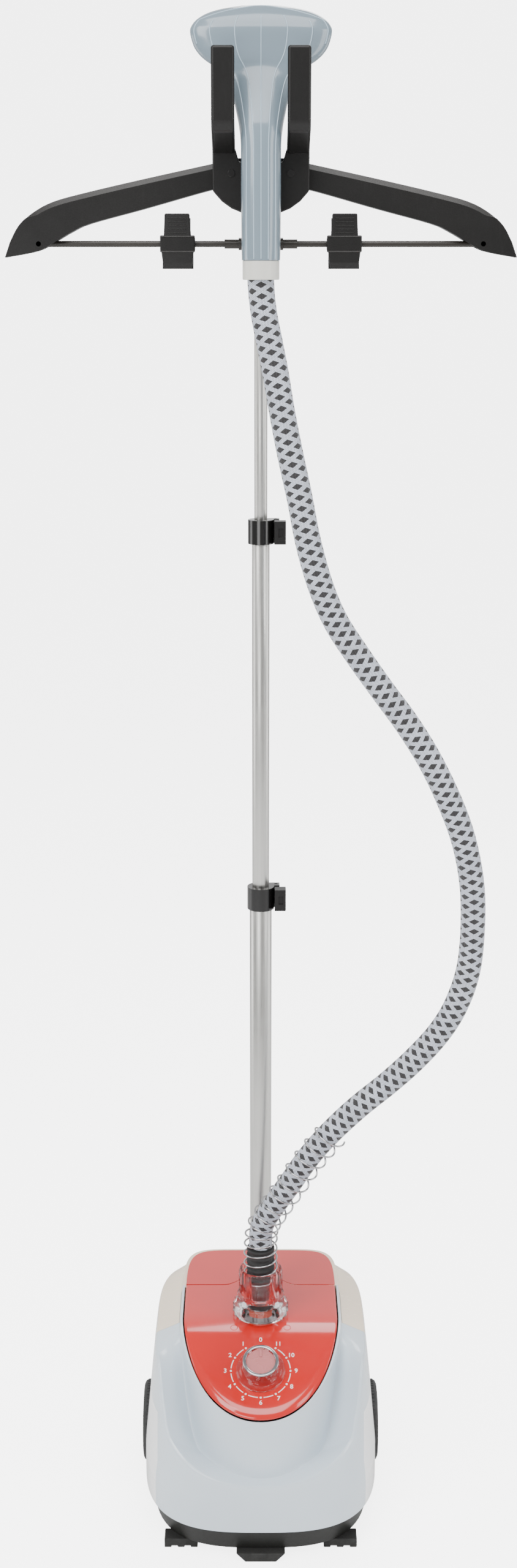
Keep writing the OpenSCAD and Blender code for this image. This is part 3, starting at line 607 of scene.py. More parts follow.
def grown(name, tree_maker, material, points=((0, 0, 0),), edges=(), where=None, **values):
    """A plain mesh made by a geometry node tree from points and edges."""
    if tree_maker not in TREES:
        TREES[tree_maker] = tree_maker()
    group = TREES[tree_maker]
    mesh = bpy.data.meshes.new(name)
    mesh.from_pydata([tuple(p) for p in points], list(edges), [])
    obj = link(bpy.data.objects.new(name, mesh))
    nodes = obj.modifiers.new("Nodes", "NODES")
    nodes.node_group = group
    values["Material"] = material
    keys = {s.name: s.identifier for s in group.interface.items_tree if s.in_out == "INPUT"}
    for label, value in values.items():
        nodes[keys[label.replace("_", " ")]] = value
    settle(obj)
    if where is not None:
        obj.data.transform(where)
    return obj


def wire(name, paths, radius, material, sides=8, closed=False):
    """Round wires along paths of points."""
    points, edges = [], []
    for path in paths:
        start = len(points)
        points += list(path)
        edges += [(start + i, start + i + 1) for i in range(len(path) - 1)]
        if closed:
            edges.append((len(points) - 1, start))
    return grown(name, wire_tree, material, points, edges, Radius=radius, Sides=sides)


def ring_of(name, template, count, radius, material):
    """Copies of a template in a level ring at the origin."""
    obj = grown(name, ring_tree, material, Template=template, Count=count, Radius=radius, Height=0.0, Start=0.0)
    bpy.data.objects.remove(template)
    return obj


def copies_at(name, template, points, material, where):
    """Unturned copies of a template on points, moved together."""
    obj = grown(name, scatter_tree, material, points, where=where, Template=template, Turn=(0, 0, 0))
    bpy.data.objects.remove(template)
    return obj


def block(name, size, round_):
    """A small block with rounded edges, as a template."""
    work = bmesh.new()
    bmesh.ops.create_cube(work, size=1.0)
    bmesh.ops.scale(work, vec=size, verts=work.verts)
    bmesh.ops.bevel(work, geom=work.edges[:], offset=round_, segments=2, profile=0.6, affect="EDGES")
    return object_from(name, work)


# ---------------------------------------------------------------- forms of the base


def signed_power(value, power):
    """The power of the value's size, with the value's sign."""
    return math.copysign(abs(value) ** power, value)


def outline_point(angle, half, front, back, n_front, n_back, middle):
    """Point of a rounded outline: half its width, and its reaches to the front and the back of the middle."""
    s = math.sin(angle)
    n = n_front if s < 0 else n_back
    reach = front if s < 0 else back
    return half * signed_power(math.cos(angle), 2 / n), middle + reach * signed_power(s, 2 / n)


def body_outline(angle):
    """Outline of the base at the skirt."""
    reach = sizes().body_depth / 2
    return outline_point(angle, sizes().body_width / 2, reach, reach, 3, 4.5, 0)


# The raised middle: half its width, its reaches and its roundness to the front and the back, and its middle
TONGUE_HALF = 90 * MM
TONGUE_FRONT, TONGUE_BACK = 130 * MM, 154 * MM
TONGUE_FRONT_POWER, TONGUE_BACK_POWER = 2.1, 7
TONGUE_Y = -5 * MM
TONGUE_SKIRT = 4 * MM


def tongue_outline(angle, grow):
    """Outline of the raised middle, grown by a margin."""
    return outline_point(angle, TONGUE_HALF + grow, TONGUE_FRONT + grow, TONGUE_BACK + grow, TONGUE_FRONT_POWER,
                         TONGUE_BACK_POWER, TONGUE_Y)


BODY_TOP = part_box("tank_lid")[1][2]
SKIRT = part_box("front_shell")[0][2]
PANEL_SLOPE = 0.49
PANEL_BREAK = -31 * MM
BREAK_SOFTNESS = 10 * MM
MAST = Vector([(a + b) / 2 for a, b in zip(*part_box("tube_lower"))][:2] + [0])
SEAM_R = 36 * MM
WALL_LEAN = 2.2
LEAN_START = 75 * MM
THROUGH = 0.6


def top_height(y):
    """Height of the base's top surface: level at the back, sloping down to the front."""
    return BODY_TOP - PANEL_SLOPE * BREAK_SOFTNESS * math.log(1 + math.exp((PANEL_BREAK - y) / BREAK_SOFTNESS))


def ease(value, low, high):
    """A smooth step from 0 at low to 1 at high."""
    t = min(max((value - low) / (high - low), 0.0), 1.0)
    return t * t * (3 - 2 * t)


def shoulder_heights(angle):
    """Heights of the shoulder's outer edge and of its foot at the raised middle."""
    off = abs(math.degrees(angle) - 270)
    off = 360 - off if off > 180 else off
    outer = 97 + 44 * (min(off, 54) / 54) ** 1.5 + 62 * ease(off, 46, 72)
    inner = 96 + 10 * ease(off, 0, 50) + 108 * ease(off, 44, 84)
    return outer * MM, inner * MM


def smooth_through(values, t):
    """Catmull-Rom value at t along a list of numbers or vectors."""
    i = min(int(t), len(values) - 2)
    u = t - i
    a, b, c, d = values[max(i - 1, 0)], values[i], values[i + 1], values[min(i + 2, len(values) - 1)]
    return 0.5 * (2 * b + (c - a) * u + (2 * a - 5 * b + 4 * c - d) * u * u + (3 * b - a - 3 * c + d) * u ** 3)


def rounded_through(values, t):
    """B-spline value at t along a list of numbers: it rounds the corners and never overshoots."""
    i = min(int(t), len(values) - 2)
    u = t - i
    b, c = values[i], values[i + 1]
    a = values[i - 1] if i > 0 else 2 * b - c
    d = values[i + 2] if i + 2 < len(values) else 2 * c - b
    total = (1 - u) ** 3 * a + (3 * u ** 3 - 6 * u * u + 4) * b + (3 * u * u + 3 * u + 1 - 3 * u ** 3) * c + u ** 3 * d
    return total / 6


LEDGE_CREASE = 14


def body_column(angle, steps):
    """Points from the skirt's lower edge up over the shoulder to the rim of the raised middle."""
    ox, oy = body_outline(angle)
    tx, ty = tongue_outline(angle, TONGUE_SKIRT)
    outer, inner = shoulder_heights(angle)
    forward = ease(-math.sin(angle), 0.3, 0.95)
    rim = max(top_height(ty) - (0.6 + 4.2 * forward) * MM, inner + 3 * MM)
    foot = inner + 0.6 * MM
    levels = [(1.0, SKIRT), (1.0, SKIRT + 0.7 * (outer - SKIRT)), (0.99, outer - 6 * MM), (0.95, outer - 1.6 * MM),
              (0.9, outer), (0.9, outer), (0.84, outer + (foot - outer) / LEDGE_CREASE),
              (0.12, foot - (foot - outer) / LEDGE_CREASE), (0.06, foot), (0.06, foot),
              (0.01, inner + 4.5 * MM), (0.0, inner + 0.5 * (rim - inner) + 2 * MM), (0.0, rim)]
    column = []
    for k in range(steps):
        t = (len(levels) - 1) * k / (steps - 1)
        out, z = (rounded_through(values, t) for values in zip(*levels))
        out *= 1 - WALL_LEAN * max(z - LEAN_START, 0.0)
        column.append(Vector((tx + out * (ox - tx), ty + out * (oy - ty), z)))
    return column


def body_skin(name, around=288, steps=71):
    """The whole outer skin of the base as one open sheet."""
    columns = [body_column(FULL * i / around, steps) for i in range(around)]
    points = [columns[c][r] for r in range(steps) for c in range(around)]
    return piece_from(name, points, grid_faces(steps, around), paint("grey_blue_shell"))


# Where the covers meet: the side covers' edges, the tank's back part and the shoulders that it has in front of that
SIDE_X, SIDE_FRONT, SIDE_BACK, SIDE_TOP = 118 * MM, -106 * MM, 124 * MM, 150 * MM
TANK_X, TANK_FRONT, TANK_FOOT, TANK_SIDE_FOOT = 108 * MM, 63.6 * MM, 71.6 * MM, 175.6 * MM
SHOULDER_X, SHOULDER_FRONT, SHOULDER_FOOT = 95.6 * MM, -7.4 * MM, 199.6 * MM
BEHIND = 120 * MM
SEAM_PLANES = [(0, SIDE_X), (0, -SIDE_X), (0, TANK_X), (0, -TANK_X), (1, SIDE_FRONT), (1, SIDE_BACK), (2, TANK_FOOT),
               (1, SHOULDER_FRONT), (1, TANK_FRONT), (2, SIDE_TOP), (2, TANK_SIDE_FOOT), (2, SHOULDER_FOOT),
               (0, SHOULDER_X), (0, -SHOULDER_X), (0, 0.0)]


def cover_at(point):
    """Name of the cover that a point of the skin belongs to."""
    x, y, z = abs(point[0]), point[1], point[2]
    if y > TANK_FRONT and z > TANK_SIDE_FOOT or (x < TANK_X and z > TANK_FOOT and y > BEHIND):
        return "tank"
    if y > SHOULDER_FRONT and z > SHOULDER_FOOT and x > SHOULDER_X:
        return "tank"
    if z < SIDE_TOP and ((x > SIDE_X and y > SIDE_FRONT) or y > SIDE_BACK):
        return "left" if point[0] < 0 else "right"
    return "front"


def split_skin(skin):
    """The skin parted along its seams, one open sheet for each cover."""
    work = bmesh.new()
    work.from_mesh(skin.data)
    for axis, distance in SEAM_PLANES:
        normal = Vector([float(axis == k) for k in range(3)])
        bmesh.ops.bisect_plane(work, geom=work.verts[:] + work.edges[:] + work.faces[:], plane_co=normal * distance,
                               plane_no=normal, dist=1e-6)
    parts = {}
    for cover in ("front", "left", "right", "tank"):
        copy = work.copy()
        away = [f for f in copy.faces if cover_at(f.calc_center_median()) != cover]
        bmesh.ops.delete(copy, geom=away, context="FACES")
        mesh = bpy.data.meshes.new(cover)
        copy.to_mesh(mesh)
        copy.free()
        parts[cover] = mesh
    work.free()
    bpy.data.objects.remove(skin)
    return parts


def cover(name, mesh, material):
    """One moulded cover from its sheet of skin, with its wall."""
    obj = link(bpy.data.objects.new(name, mesh))
    mesh.materials.clear()
    mesh.materials.append(material)
    mesh.shade_smooth()
    return settle(thicken(obj, sizes().cover_wall))


def wheel_room():
    """Round cutters where the wheels stand in the covers."""
    low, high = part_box("tyre_right")
    radius = (high[2] - low[2]) / 2 + 4 * MM
    work = bmesh.new()
    for side in (-1, 1):
        middle = (side * sizes().body_width / 2, (low[1] + high[1]) / 2, (low[2] + high[2]) / 2)
        spot = Matrix.Translation(middle) @ Matrix.Rotation(math.pi / 2, 4, "Y")
        bmesh.ops.create_cone(work, cap_ends=True, segments=96, radius1=radius, radius2=radius, depth=40 * MM,
                              matrix=spot)
    return object_from("wheel_room", work)


def rolled_edge(x, y):
    """How far the control panel's edge turns down at a point: a broad roll in front, a small one at the sides."""
    ahead = min(y - TONGUE_Y, 0.0)
    if ahead < 0:
        power = TONGUE_FRONT_POWER
        level = ((abs(x) / TONGUE_HALF) ** power + (abs(ahead) / TONGUE_FRONT) ** power) ** (1 / power)
        reach = math.hypot(x, ahead)
        inside = reach * (1 / max(level, 0.01) - 1)
        front = ease(-ahead / max(reach, 0.001), 0.3, 0.9)
    else:
        inside, front = TONGUE_HALF - abs(x), 0.0
    broad, drop = (2.5 + 8.5 * front) * MM, (1.5 + 4.0 * front) * MM
    share = 1 - min(max(inside / broad, 0.0), 1.0)
    return drop * (1 - math.sqrt(1 - share * share))


def sheet_between(name, near, far, half, material, columns=61, rows=60, wall=2.6 * MM, sink=None):
    """A panel of the top surface between two curves y(x); its rim is rounded."""
    points = []
    for c in range(columns):
        share = -1 + 2 * c / (columns - 1)
        x = half * math.copysign(1 - (1 - abs(share)) ** 2.3, share)
        start, stop = near(x), far(x)
        for r in range(rows):
            y = start + (stop - start) * (r / (rows - 1)) ** (1.7 if sink else 1.0)
            points.append((x, y, top_height(y) - (sink(x, y) if sink else 0.0)))
    faces = [(c * rows + r, (c + 1) * rows + r, (c + 1) * rows + r + 1, c * rows + r + 1)
             for c in range(columns - 1) for r in range(rows - 1)]
    obj = piece_from(name, points, faces, material)
    mend(obj, 0.01 * MM)
    if obj.data.polygons[len(obj.data.polygons) // 2].normal.z < 0:
        obj.data.flip_normals()
    thicken(obj, wall)
    soften(obj, sizes().panel_round * 0.5, 3, 60)
    return obj


# ---------------------------------------------------------------- stage


CAMERA_PLACE = (-0.0025, -2.04, 1.416)
CAMERA_TILT = 75.0
CAMERA_LENS = 44.34
ROOM_LIGHT = 0.56
WALL_LIGHT = 1.35
BACKDROP_LIGHT = 5.0
FLOOR_HALF = 40.0
FLOOR_GLOW = 4.4
# How far a reflection has to turn to the back before it meets the white wall
WALL_EDGE = (-0.45, -0.75)


# Name, place, what it points at, size, power in watts
SOFT_LIGHTS = [
    ("Key", (-1.5, -1.6, 2.3), (0, 0, 0.7), (0.9, 1.8), 40),
    ("Fill", (1.9, -1.3, 1.5), (0, 0, 0.7), (0.7, 1.8), 20),
    ("Base", (-0.7, -1.9, 0.9), (0, 0, 0.1), (0.9, 0.5), 9),
    ("Rim", (0.6, 1.9, 3.2), (0, 0, 0.8), (1.6, 1.2), 40),
    ("Top", (0.0, -1.2, 3.2), (0, 0, 0.3), (2.0, 1.6), 62),
    ("Left", (-2.2, 0.3, 0.8), (0, 0, 0.4), (0.9, 1.4), 16),
    ("Right", (2.2, 0.3, 0.8), (0, 0, 0.4), (0.9, 1.4), 14),
]


def soft_light(name, place_at, aim, size, power):
    """A large soft lamp turned towards a point."""
    lamp = bpy.data.lights.new(name, "AREA")
    lamp.shape = "RECTANGLE"
    lamp.size, lamp.size_y = size
    lamp.energy = power
    obj = link(bpy.data.objects.new(name, lamp))
    obj.location = place_at
    obj.rotation_euler = (Vector(aim) - Vector(place_at)).to_track_quat("-Z", "Y").to_euler()
    return obj


def light_world(tree):
    """A pale room: soft light on the object, a white wall behind it for reflections, and a brighter backdrop."""
    world = ShaderNodes(tree)
    back = tree.nodes["Background"]
    world.feed(back.inputs[0], (1.0, 1.0, 1.0, 1.0))
    path = world.add("LightPath")
    split = world.add("SeparateXYZ", Vector=world.add("NewGeometry").outputs["Incoming"])
    wall = world.spread(split.outputs[1], 0.0, WALL_LIGHT - ROOM_LIGHT, WALL_EDGE)
    mirrored = world.math("MULTIPLY", wall, path.outputs["Is Glossy Ray"])
    seen = world.spread(path.outputs["Is Camera Ray"], ROOM_LIGHT, BACKDROP_LIGHT, (0.0, 1.0))
    world.feed(back.inputs[1], world.math("ADD", mirrored, seen))


class STEAMER_OT_stage(bpy.types.Operator):
    """Set the camera, the pale floor and the soft studio lights."""

    bl_idname = "steamer.stage"
    bl_label = "Stage"

    def execute(self, context):
        camera = bpy.data.cameras.new("Camera")
        camera.lens = CAMERA_LENS
        camera.sensor_width = 36.0
        camera.sensor_fit = "AUTO"
        eye = link(bpy.data.objects.new("Camera", camera))
        eye.location = CAMERA_PLACE
        eye.rotation_euler = (math.radians(CAMERA_TILT), 0, 0)
        context.scene.camera = eye

        world = bpy.data.worlds.new("Pale room")
        world.use_nodes = True
        light_world(world.node_tree)
        context.scene.world = world

        f = Finish("pale_floor")
        f.set(Roughness=f.spread(f.noise(f.coords(), 3.0, 3.0), 0.6, 0.75))
        f.set(Base_Color=(0.93, 0.93, 0.93, 1.0), Emission_Color=(1.0, 1.0, 1.0, 1.0),
              Emission_Strength=f.math("MULTIPLY", f.add("LightPath").outputs["Is Camera Ray"], FLOOR_GLOW))
        work = bmesh.new()
        bmesh.ops.create_grid(work, x_segments=1, y_segments=1, size=FLOOR_HALF)
        floor = object_from("floor", work)
        floor.data.materials.append(f.material)
        for light in SOFT_LIGHTS:
            soft_light(*light)
        return {"FINISHED"}


# ---------------------------------------------------------------- hose


HOSE_ROUTE = [Vector(p) * MM for p in (
    (0, -20, 1455), (0, -20, 1425), (0, -20, 1398), (3, -21, 1370), (9, -24, 1340), (15, -27, 1310),
    (22, -31, 1270), (30, -34, 1230), (40, -37, 1185), (49, -40, 1140), (62, -43, 1095), (78, -45, 1058),
    (100, -47, 1024), (127, -48, 986), (155, -49, 948), (180, -50, 908), (202, -50, 863), (218, -50, 820),
    (228, -49, 773), (231, -47, 725), (228, -45, 672), (216, -43, 629), (198, -41, 595), (172, -38, 562),
    (143, -35, 532), (110, -31, 501), (80, -26, 468), (56, -21, 436), (35, -16, 401), (16, -9, 368),
    (2, -1, 338), (0, 0, 312), (0, 0, 286), (0, 0, 262))]
HOSE_SPANS = 31
DIAMOND_PITCH = 11.4 * MM
HOSE_POINTS, HOSE_SIDES = 700, 48
SLEEVE_BORE, SLEEVE_SKIN, SLEEVE_RIB = 9.2 * MM, 14.4 * MM, 16.2 * MM
SLEEVE_RIBS, FIRST_RIB, RIB_PITCH = 8, 250 * MM, 8 * MM
GUARD_SPANS = 7
GUARD_STEPS = 40
GUARD_RADIUS, GUARD_NARROWING, GUARD_SHIFT = 19 * MM, 1.4 * MM, 2.2 * MM


def even_route(route, spans, count):
    """Evenly spaced points along the first spans of a smooth route, with their directions."""
    fine = [smooth_through(route, spans * i / (count * 4)) for i in range(count * 4 + 1)]
    runs = [0.0]
    for a, b in zip(fine, fine[1:]):
        runs.append(runs[-1] + (b - a).length)
    points, k = [], 0
    for i in range(count):
        goal = runs[-1] * i / (count - 1)
        while k < len(runs) - 2 and runs[k + 1] < goal:
            k += 1
        share = (goal - runs[k]) / (runs[k + 1] - runs[k])
        points.append(fine[k].lerp(fine[k + 1], share))
    ways = [(points[min(i + 1, count - 1)] - points[max(i - 1, 0)]).normalized() for i in range(count)]
    return points, ways, runs[-1]


def ring_frame(way):
    """Side and upper directions square to a route that never runs along Y."""
    side = way.cross(Vector((0, 1, 0))).normalized()
    return side, side.cross(way)


class STEAMER_OT_hose(bpy.types.Operator):
    """Build the braided hose, its end sleeve and the spring guard."""

    bl_idname = "steamer.hose"
    bl_label = "Hose"

    def execute(self, context):
        look = sizes()
        count, sides = HOSE_POINTS, HOSE_SIDES
        points, ways, whole = even_route(HOSE_ROUTE, HOSE_SPANS, count)
        radius = look.hose_diameter / 2
        verts = []
        for i, (point, way) in enumerate(zip(points, ways)):
            side, up = ring_frame(way)
            slack = 1 + 0.006 * math.sin(i * 0.11) + 0.004 * math.sin(i * 0.037 + 1)
            for s in range(sides):
                a = FULL * s / sides
                verts.append(point + radius * slack * (math.cos(a) * side + math.sin(a) * up))
        faces = grid_faces(count, sides)
        obj = piece_from("braided_hose", verts, faces, braid("braided_yarn", tuple(colours().yarn),
                                                             tuple(colours().mark), whole / DIAMOND_PITCH))
        layer = obj.data.uv_layers.new(name="Weave")
        for polygon in obj.data.polygons:
            r, s = divmod(polygon.index, sides)
            for loop, (dr, ds) in zip(polygon.loop_indices, ((0, 0), (0, 1), (1, 1), (1, 0))):
                layer.data[loop].uv = ((s + ds) / sides, (r + dr) / (count - 1))
        place(obj, "hose")

        sleeve = paint("sleeve_rubber")
        low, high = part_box("hose_cuff")
        bore, skin, rib = SLEEVE_BORE, SLEEVE_SKIN, SLEEVE_RIB
        profile = [(bore, low[2]), (skin, low[2])]
        for k in range(SLEEVE_RIBS):
            z = FIRST_RIB + RIB_PITCH * k
            profile += [(skin, z - 0.6 * MM), (rib - 0.5 * MM, z), (rib, z + 0.6 * MM), (rib, z + 3.2 * MM),
                        (rib - 0.5 * MM, z + 3.9 * MM), (skin, z + 4.4 * MM)]
        profile += [(skin, high[2] - 0.8 * MM), (skin - 0.8 * MM, high[2]), (bore, high[2])]
        cuff = place(lathe("hose_sleeve", profile, sleeve, 72), "hose_cuff")

        steps = look.guard_turns * GUARD_STEPS
        spiral = []
        for i in range(steps + 1):
            t = len(HOSE_ROUTE) - 1 - GUARD_SPANS * i / steps
            centre = smooth_through(HOSE_ROUTE, t)
            ahead = smooth_through(HOSE_ROUTE, min(t + 0.02, len(HOSE_ROUTE) - 1))
            way = (ahead - smooth_through(HOSE_ROUTE, t - 0.02)).normalized()
            side, up = ring_frame(way)
            a = FULL * i / GUARD_STEPS
            loose = ease(i / steps, 0.25, 0.6)
            around = (GUARD_RADIUS - GUARD_NARROWING * loose) * (math.cos(a) * side + math.sin(a) * up)
            spiral.append(centre + GUARD_SHIFT * loose * side + around)
        guard = wire("spring_guard", [spiral], look.wire_diameter / 2, paint("bright_wire"), 10)
        place(guard, "hose_spring")

        for soft in (obj, guard):
            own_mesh(soft)
        return {"FINISHED"}


# ---------------------------------------------------------------- base


def back_edge(x):
    """Depth of the raised middle's back edge at width x."""
    share = min(abs(x) / TONGUE_HALF, 1.0)
    return TONGUE_Y + TONGUE_BACK * (1 - share ** TONGUE_BACK_POWER) ** (1 / TONGUE_BACK_POWER)


def front_edge(x):
    """Depth of the raised middle's front edge at width x."""
    share = min(abs(x) / TONGUE_HALF, 1.0)
    return TONGUE_Y - TONGUE_FRONT * (1 - share ** TONGUE_FRONT_POWER) ** (1 / TONGUE_FRONT_POWER)


def seam_curve(x, gap):
    """Depth of the seam between the control panel and the tank's lid, which bows round the mast."""
    return (64 + 22 * (1 - ease(abs(x), 8 * MM, 44 * MM))) * MM + gap


DIAL_Y = -84 * MM


def dial_place():
    """The dial's own frame on the sloping panel."""
    spot = (0, DIAL_Y, top_height(DIAL_Y) + 0.8 * MM)
    return Matrix.Translation(spot) @ Matrix.Rotation(math.atan(PANEL_SLOPE), 4, "X")


def closed_body(name):
    """The whole body as one closed solid."""
    skin = body_skin(name)
    with editing(skin.data) as work:
        bmesh.ops.holes_fill(work, edges=[e for e in work.edges if e.is_boundary])
        bmesh.ops.recalc_face_normals(work, faces=work.faces)
    return skin


def tank_boxes():
    """The room that the tank stands in: its well, its back part and its shoulders."""
    work = bmesh.new()
    for low, high in (((-108, 64, 72), (108, 220, 240)), ((-170, 64, 176), (170, 220, 241)),
                      ((96, -7, 200), (171, 100, 242)), ((-171, -7, 200), (-96, 100, 242))):
        size = [(b - a) * MM for a, b in zip(low, high)]
        middle = [(a + b) / 2 * MM for a, b in zip(low, high)]
        bmesh.ops.create_cube(work, size=1.0, matrix=Matrix.Translation(middle) @ Matrix.Diagonal((*size, 1.0)))
    return object_from("tank_room", work)


class STEAMER_OT_covers(bpy.types.Operator):
    """Build the front shell and the two side covers."""

    bl_idname = "steamer.covers"
    bl_label = "Covers"

    def execute(self, context):
        look = sizes()
        parts = split_skin(body_skin("body_skin"))
        for key, node, material in (("front", "front_shell", paint("grey_blue_shell")),
                                    ("left", "side_panel_left", paint("white_cover")),
                                    ("right", "side_panel_right", paint("white_cover"))):
            obj = cover(key + "_cover", parts[key], material)
            cut_away(obj, wheel_room())
            soften(obj, look.seam_round, 2, 50)
            place(obj, node)
        return {"FINISHED"}


class STEAMER_OT_tank(bpy.types.Operator):
    """Build the lift-off water tank and its red lid."""

    bl_idname = "steamer.tank"
    bl_label = "Tank"

    def execute(self, context):
        tank = closed_body("cream_tank")
        room = tank_boxes()
        keep = tank.modifiers.new("Keep", "BOOLEAN")
        keep.operation = "INTERSECT"
        keep.object = room
        keep.solver = "EXACT"
        keep.use_self = True
        settle(tank)
        bpy.data.objects.remove(room)
        cut_away(tank, cylinder("mast_room", SEAM_R, THROUGH, 96, at=MAST))
        tank.data.materials.clear()
        tank.data.materials.append(paint("cream_tank"))
        mend(tank, 0.02 * MM)
        soften(tank, sizes().seam_round, 2, 40)
        place(tank, "water_tank")
        lid = sheet_between("tank_lid_red", lambda x: seam_curve(x, 0.7 * MM), back_edge, TONGUE_HALF - 0.1 * MM,
                            paint("red_panel_gloss"))
        place(lid, "tank_lid")
        refined("tank_cap", "dark_tray", name="tank_valve_cap")
        return {"FINISHED"}


SCALE_RADIUS, NUMBER_RADIUS = 34 * MM, 40.5 * MM
SCALE_STEP, SCALE_GAP = 30, 5.5


def on_scale(radius, degrees):
    """Point of the dial's scale: 0 degrees is nearest the front."""
    angle = math.radians(degrees)
    return radius * math.sin(angle), -radius * math.cos(angle), 0.0


def printed(label, ink):
    """A short printed text as a thin mesh about the origin."""
    curve = bpy.data.curves.new("number", "FONT")
    curve.body = label
    curve.size = 7.6 * MM
    curve.offset = 0.12 * MM
    curve.align_x = "CENTER"
    curve.align_y = "CENTER"
    curve.extrude = 0.06 * MM
    text = link(bpy.data.objects.new("number", curve))
    mesh = bpy.data.meshes.new_from_object(text.evaluated_get(bpy.context.evaluated_depsgraph_get()))
    bpy.data.objects.remove(text)
    mesh.materials.clear()
    mesh.materials.append(ink)
    return link(bpy.data.objects.new("number", mesh))


class STEAMER_OT_panel(bpy.types.Operator):
    """Build the red control panel with its printed scale."""

    bl_idname = "steamer.panel"
    bl_label = "Control panel"

    def execute(self, context):
        panel = sheet_between("control_panel_red", front_edge, lambda x: seam_curve(x, -0.9 * MM), TONGUE_HALF,
                              paint("red_panel_gloss"), 121, 120, sink=rolled_edge)
        cut_away(panel, cylinder("mast_hole", 15.6 * MM, THROUGH, 64, at=MAST))
        cut_away(panel, cylinder("hose_hole", 20.6 * MM, THROUGH, 64))
        cut_away(panel, dial_hole())
        place(panel, "control_panel")
        self.scale()
        return {"FINISHED"}

    def scale(self):
        """Pale dots, arcs and numbers round the dial, and two moulded rings beside the nut."""
        ink = paint("white_print")
        where = dial_place() @ Matrix.Translation((0, 0, -0.74 * MM))
        dot = lathe("dot", in_metres([(0.0001, 0), (1.3, 0), (1.3, 0.12), (0.0001, 0.16)]), ink, 16)
        spots = [on_scale(SCALE_RADIUS, SCALE_STEP * k) for k in range(-5, 6)]
        place(copies_at("scale_dots", dot, spots, ink, where), "control_panel", False)
        arcs = []
        for k in range(-5, 5):
            first, last = SCALE_STEP * k + SCALE_GAP, SCALE_STEP * (k + 1) - SCALE_GAP
            arcs.append([on_scale(SCALE_RADIUS, first + (last - first) * i / 8) for i in range(9)])
        lines = wire("scale_arcs", arcs, 0.65 * MM, ink, 6)
        lines.data.transform(where @ Matrix.Diagonal((1, 1, 0.25, 1)))
        place(lines, "control_panel", False)
        numbers = []
        for k in range(-5, 7):
            number = printed("0" if k == 6 else str(k + 6), ink)
            x, y, z = on_scale(NUMBER_RADIUS, SCALE_STEP * k)
            number.data.transform(where @ Matrix.Translation((x, y, 0.05 * MM)))
            numbers.append(number)
        place(join("scale_numbers", numbers), "control_panel", False)
        rings = []
        for side in (-1, 1):
            ring = [(side * 31 * MM + 4 * MM * math.cos(a * FULL / 24), -29 * MM + 4 * MM * math.sin(a * FULL / 24))
                    for a in range(24)]
            rings.append([(x, y, top_height(y)) for x, y in ring])
        place(wire("moulded_rings", rings, 0.35 * MM, paint("red_panel_gloss"), 6, True), "control_panel", False)


def dial_hole():
    """Cutter for the dial's shaft."""
    cutter = cylinder("dial_hole", 4.6 * MM, 0.06, 48)
    cutter.data.transform(dial_place())
    return cutter


class STEAMER_OT_tray(bpy.types.Operator):
    """Build the dark tray, the feet, the gland and what shows under the base."""

    bl_idname = "steamer.tray"
    bl_label = "Tray and feet"

    def execute(self, context):
        refined("base_tray", "dark_tray", 2.2 * MM, 3, 40)
        refined("front_foot", "foot_rubber", 1.4 * MM, 3)
        for node, look, width in (("corner_feet", "foot_rubber", 0.8), ("base_screws", "brushed_steel", 0.3),
                                  ("cable_gland", "black_satin_moulding", 0.6), ("axle", "brushed_steel", 0.8),
                                  ("mast_socket", "black_gloss_moulding", 0.8)):
            refined(node, look, width * MM)
        return {"FINISHED"}


INNER_LOOKS = {"boiler_body": "cast_aluminium", "boiler_cover": "brushed_steel", "heater_element": "blackened_rod",
               "thermostat": "ivory_switch", "dial_switch": "ivory_switch", "feed_tube": "milky_silicone",
               "outlet_seal": "red_silicone", "outlet_spout": "cast_aluminium", "well_seat": "black_satin_moulding",
               "steam_duct": "white_duct"}


class STEAMER_OT_inside(bpy.types.Operator):
    """Give the parts inside the base and the handset their finishes."""

    bl_idname = "steamer.inside"
    bl_label = "Inner parts"

    def execute(self, context):
        for node, look in INNER_LOOKS.items():
            mesh = frame["nodes"][node].data
            mesh.materials.clear()
            mesh.materials.append(paint(look))
        return {"FINISHED"}


class STEAMER_OT_dial(bpy.types.Operator):
    """Build the clear dial with its pink disc."""

    bl_idname = "steamer.dial"
    bl_label = "Dial"

    def execute(self, context):
        ring = [(3.06, 1.6), (17, 1.6), (17, 0), (27.8, 0), (28, 0.3), (28, 1.1), (27.6, 1.4), (27, 1.6), (25.6, 4.6),
                (23.4, 8.4), (22.4, 8.9), (20.7, 9.4), (20.5, 10.2, 1.2), (20.5, 17.6, 1.2), (20.5, 18.8), (20.4, 19.4),
                (16.6, 19.4), (16.5, 16), (0.02, 16), (0.02, 10), (3.06, 10)]
        turn = dial_place() @ Matrix.Rotation(math.radians(7), 4, "Z")
        place(lathe("clear_dial_knob", in_metres(ring), paint("clear_moulding"), 192, turn, 12), "dial_knob")
        band = [(16.7, 19.5), (16.7, 20.5), (17.2, 21), (19.6, 21), (20.4, 20.5), (20.6, 19.5)]
        place(lathe("bright_band", in_metres(band), paint("bright_wire"), 96, dial_place()), "dial_knob", False)
        refined("dial_insert", "pink_disc", 0.3 * MM)
        return {"FINISHED"}


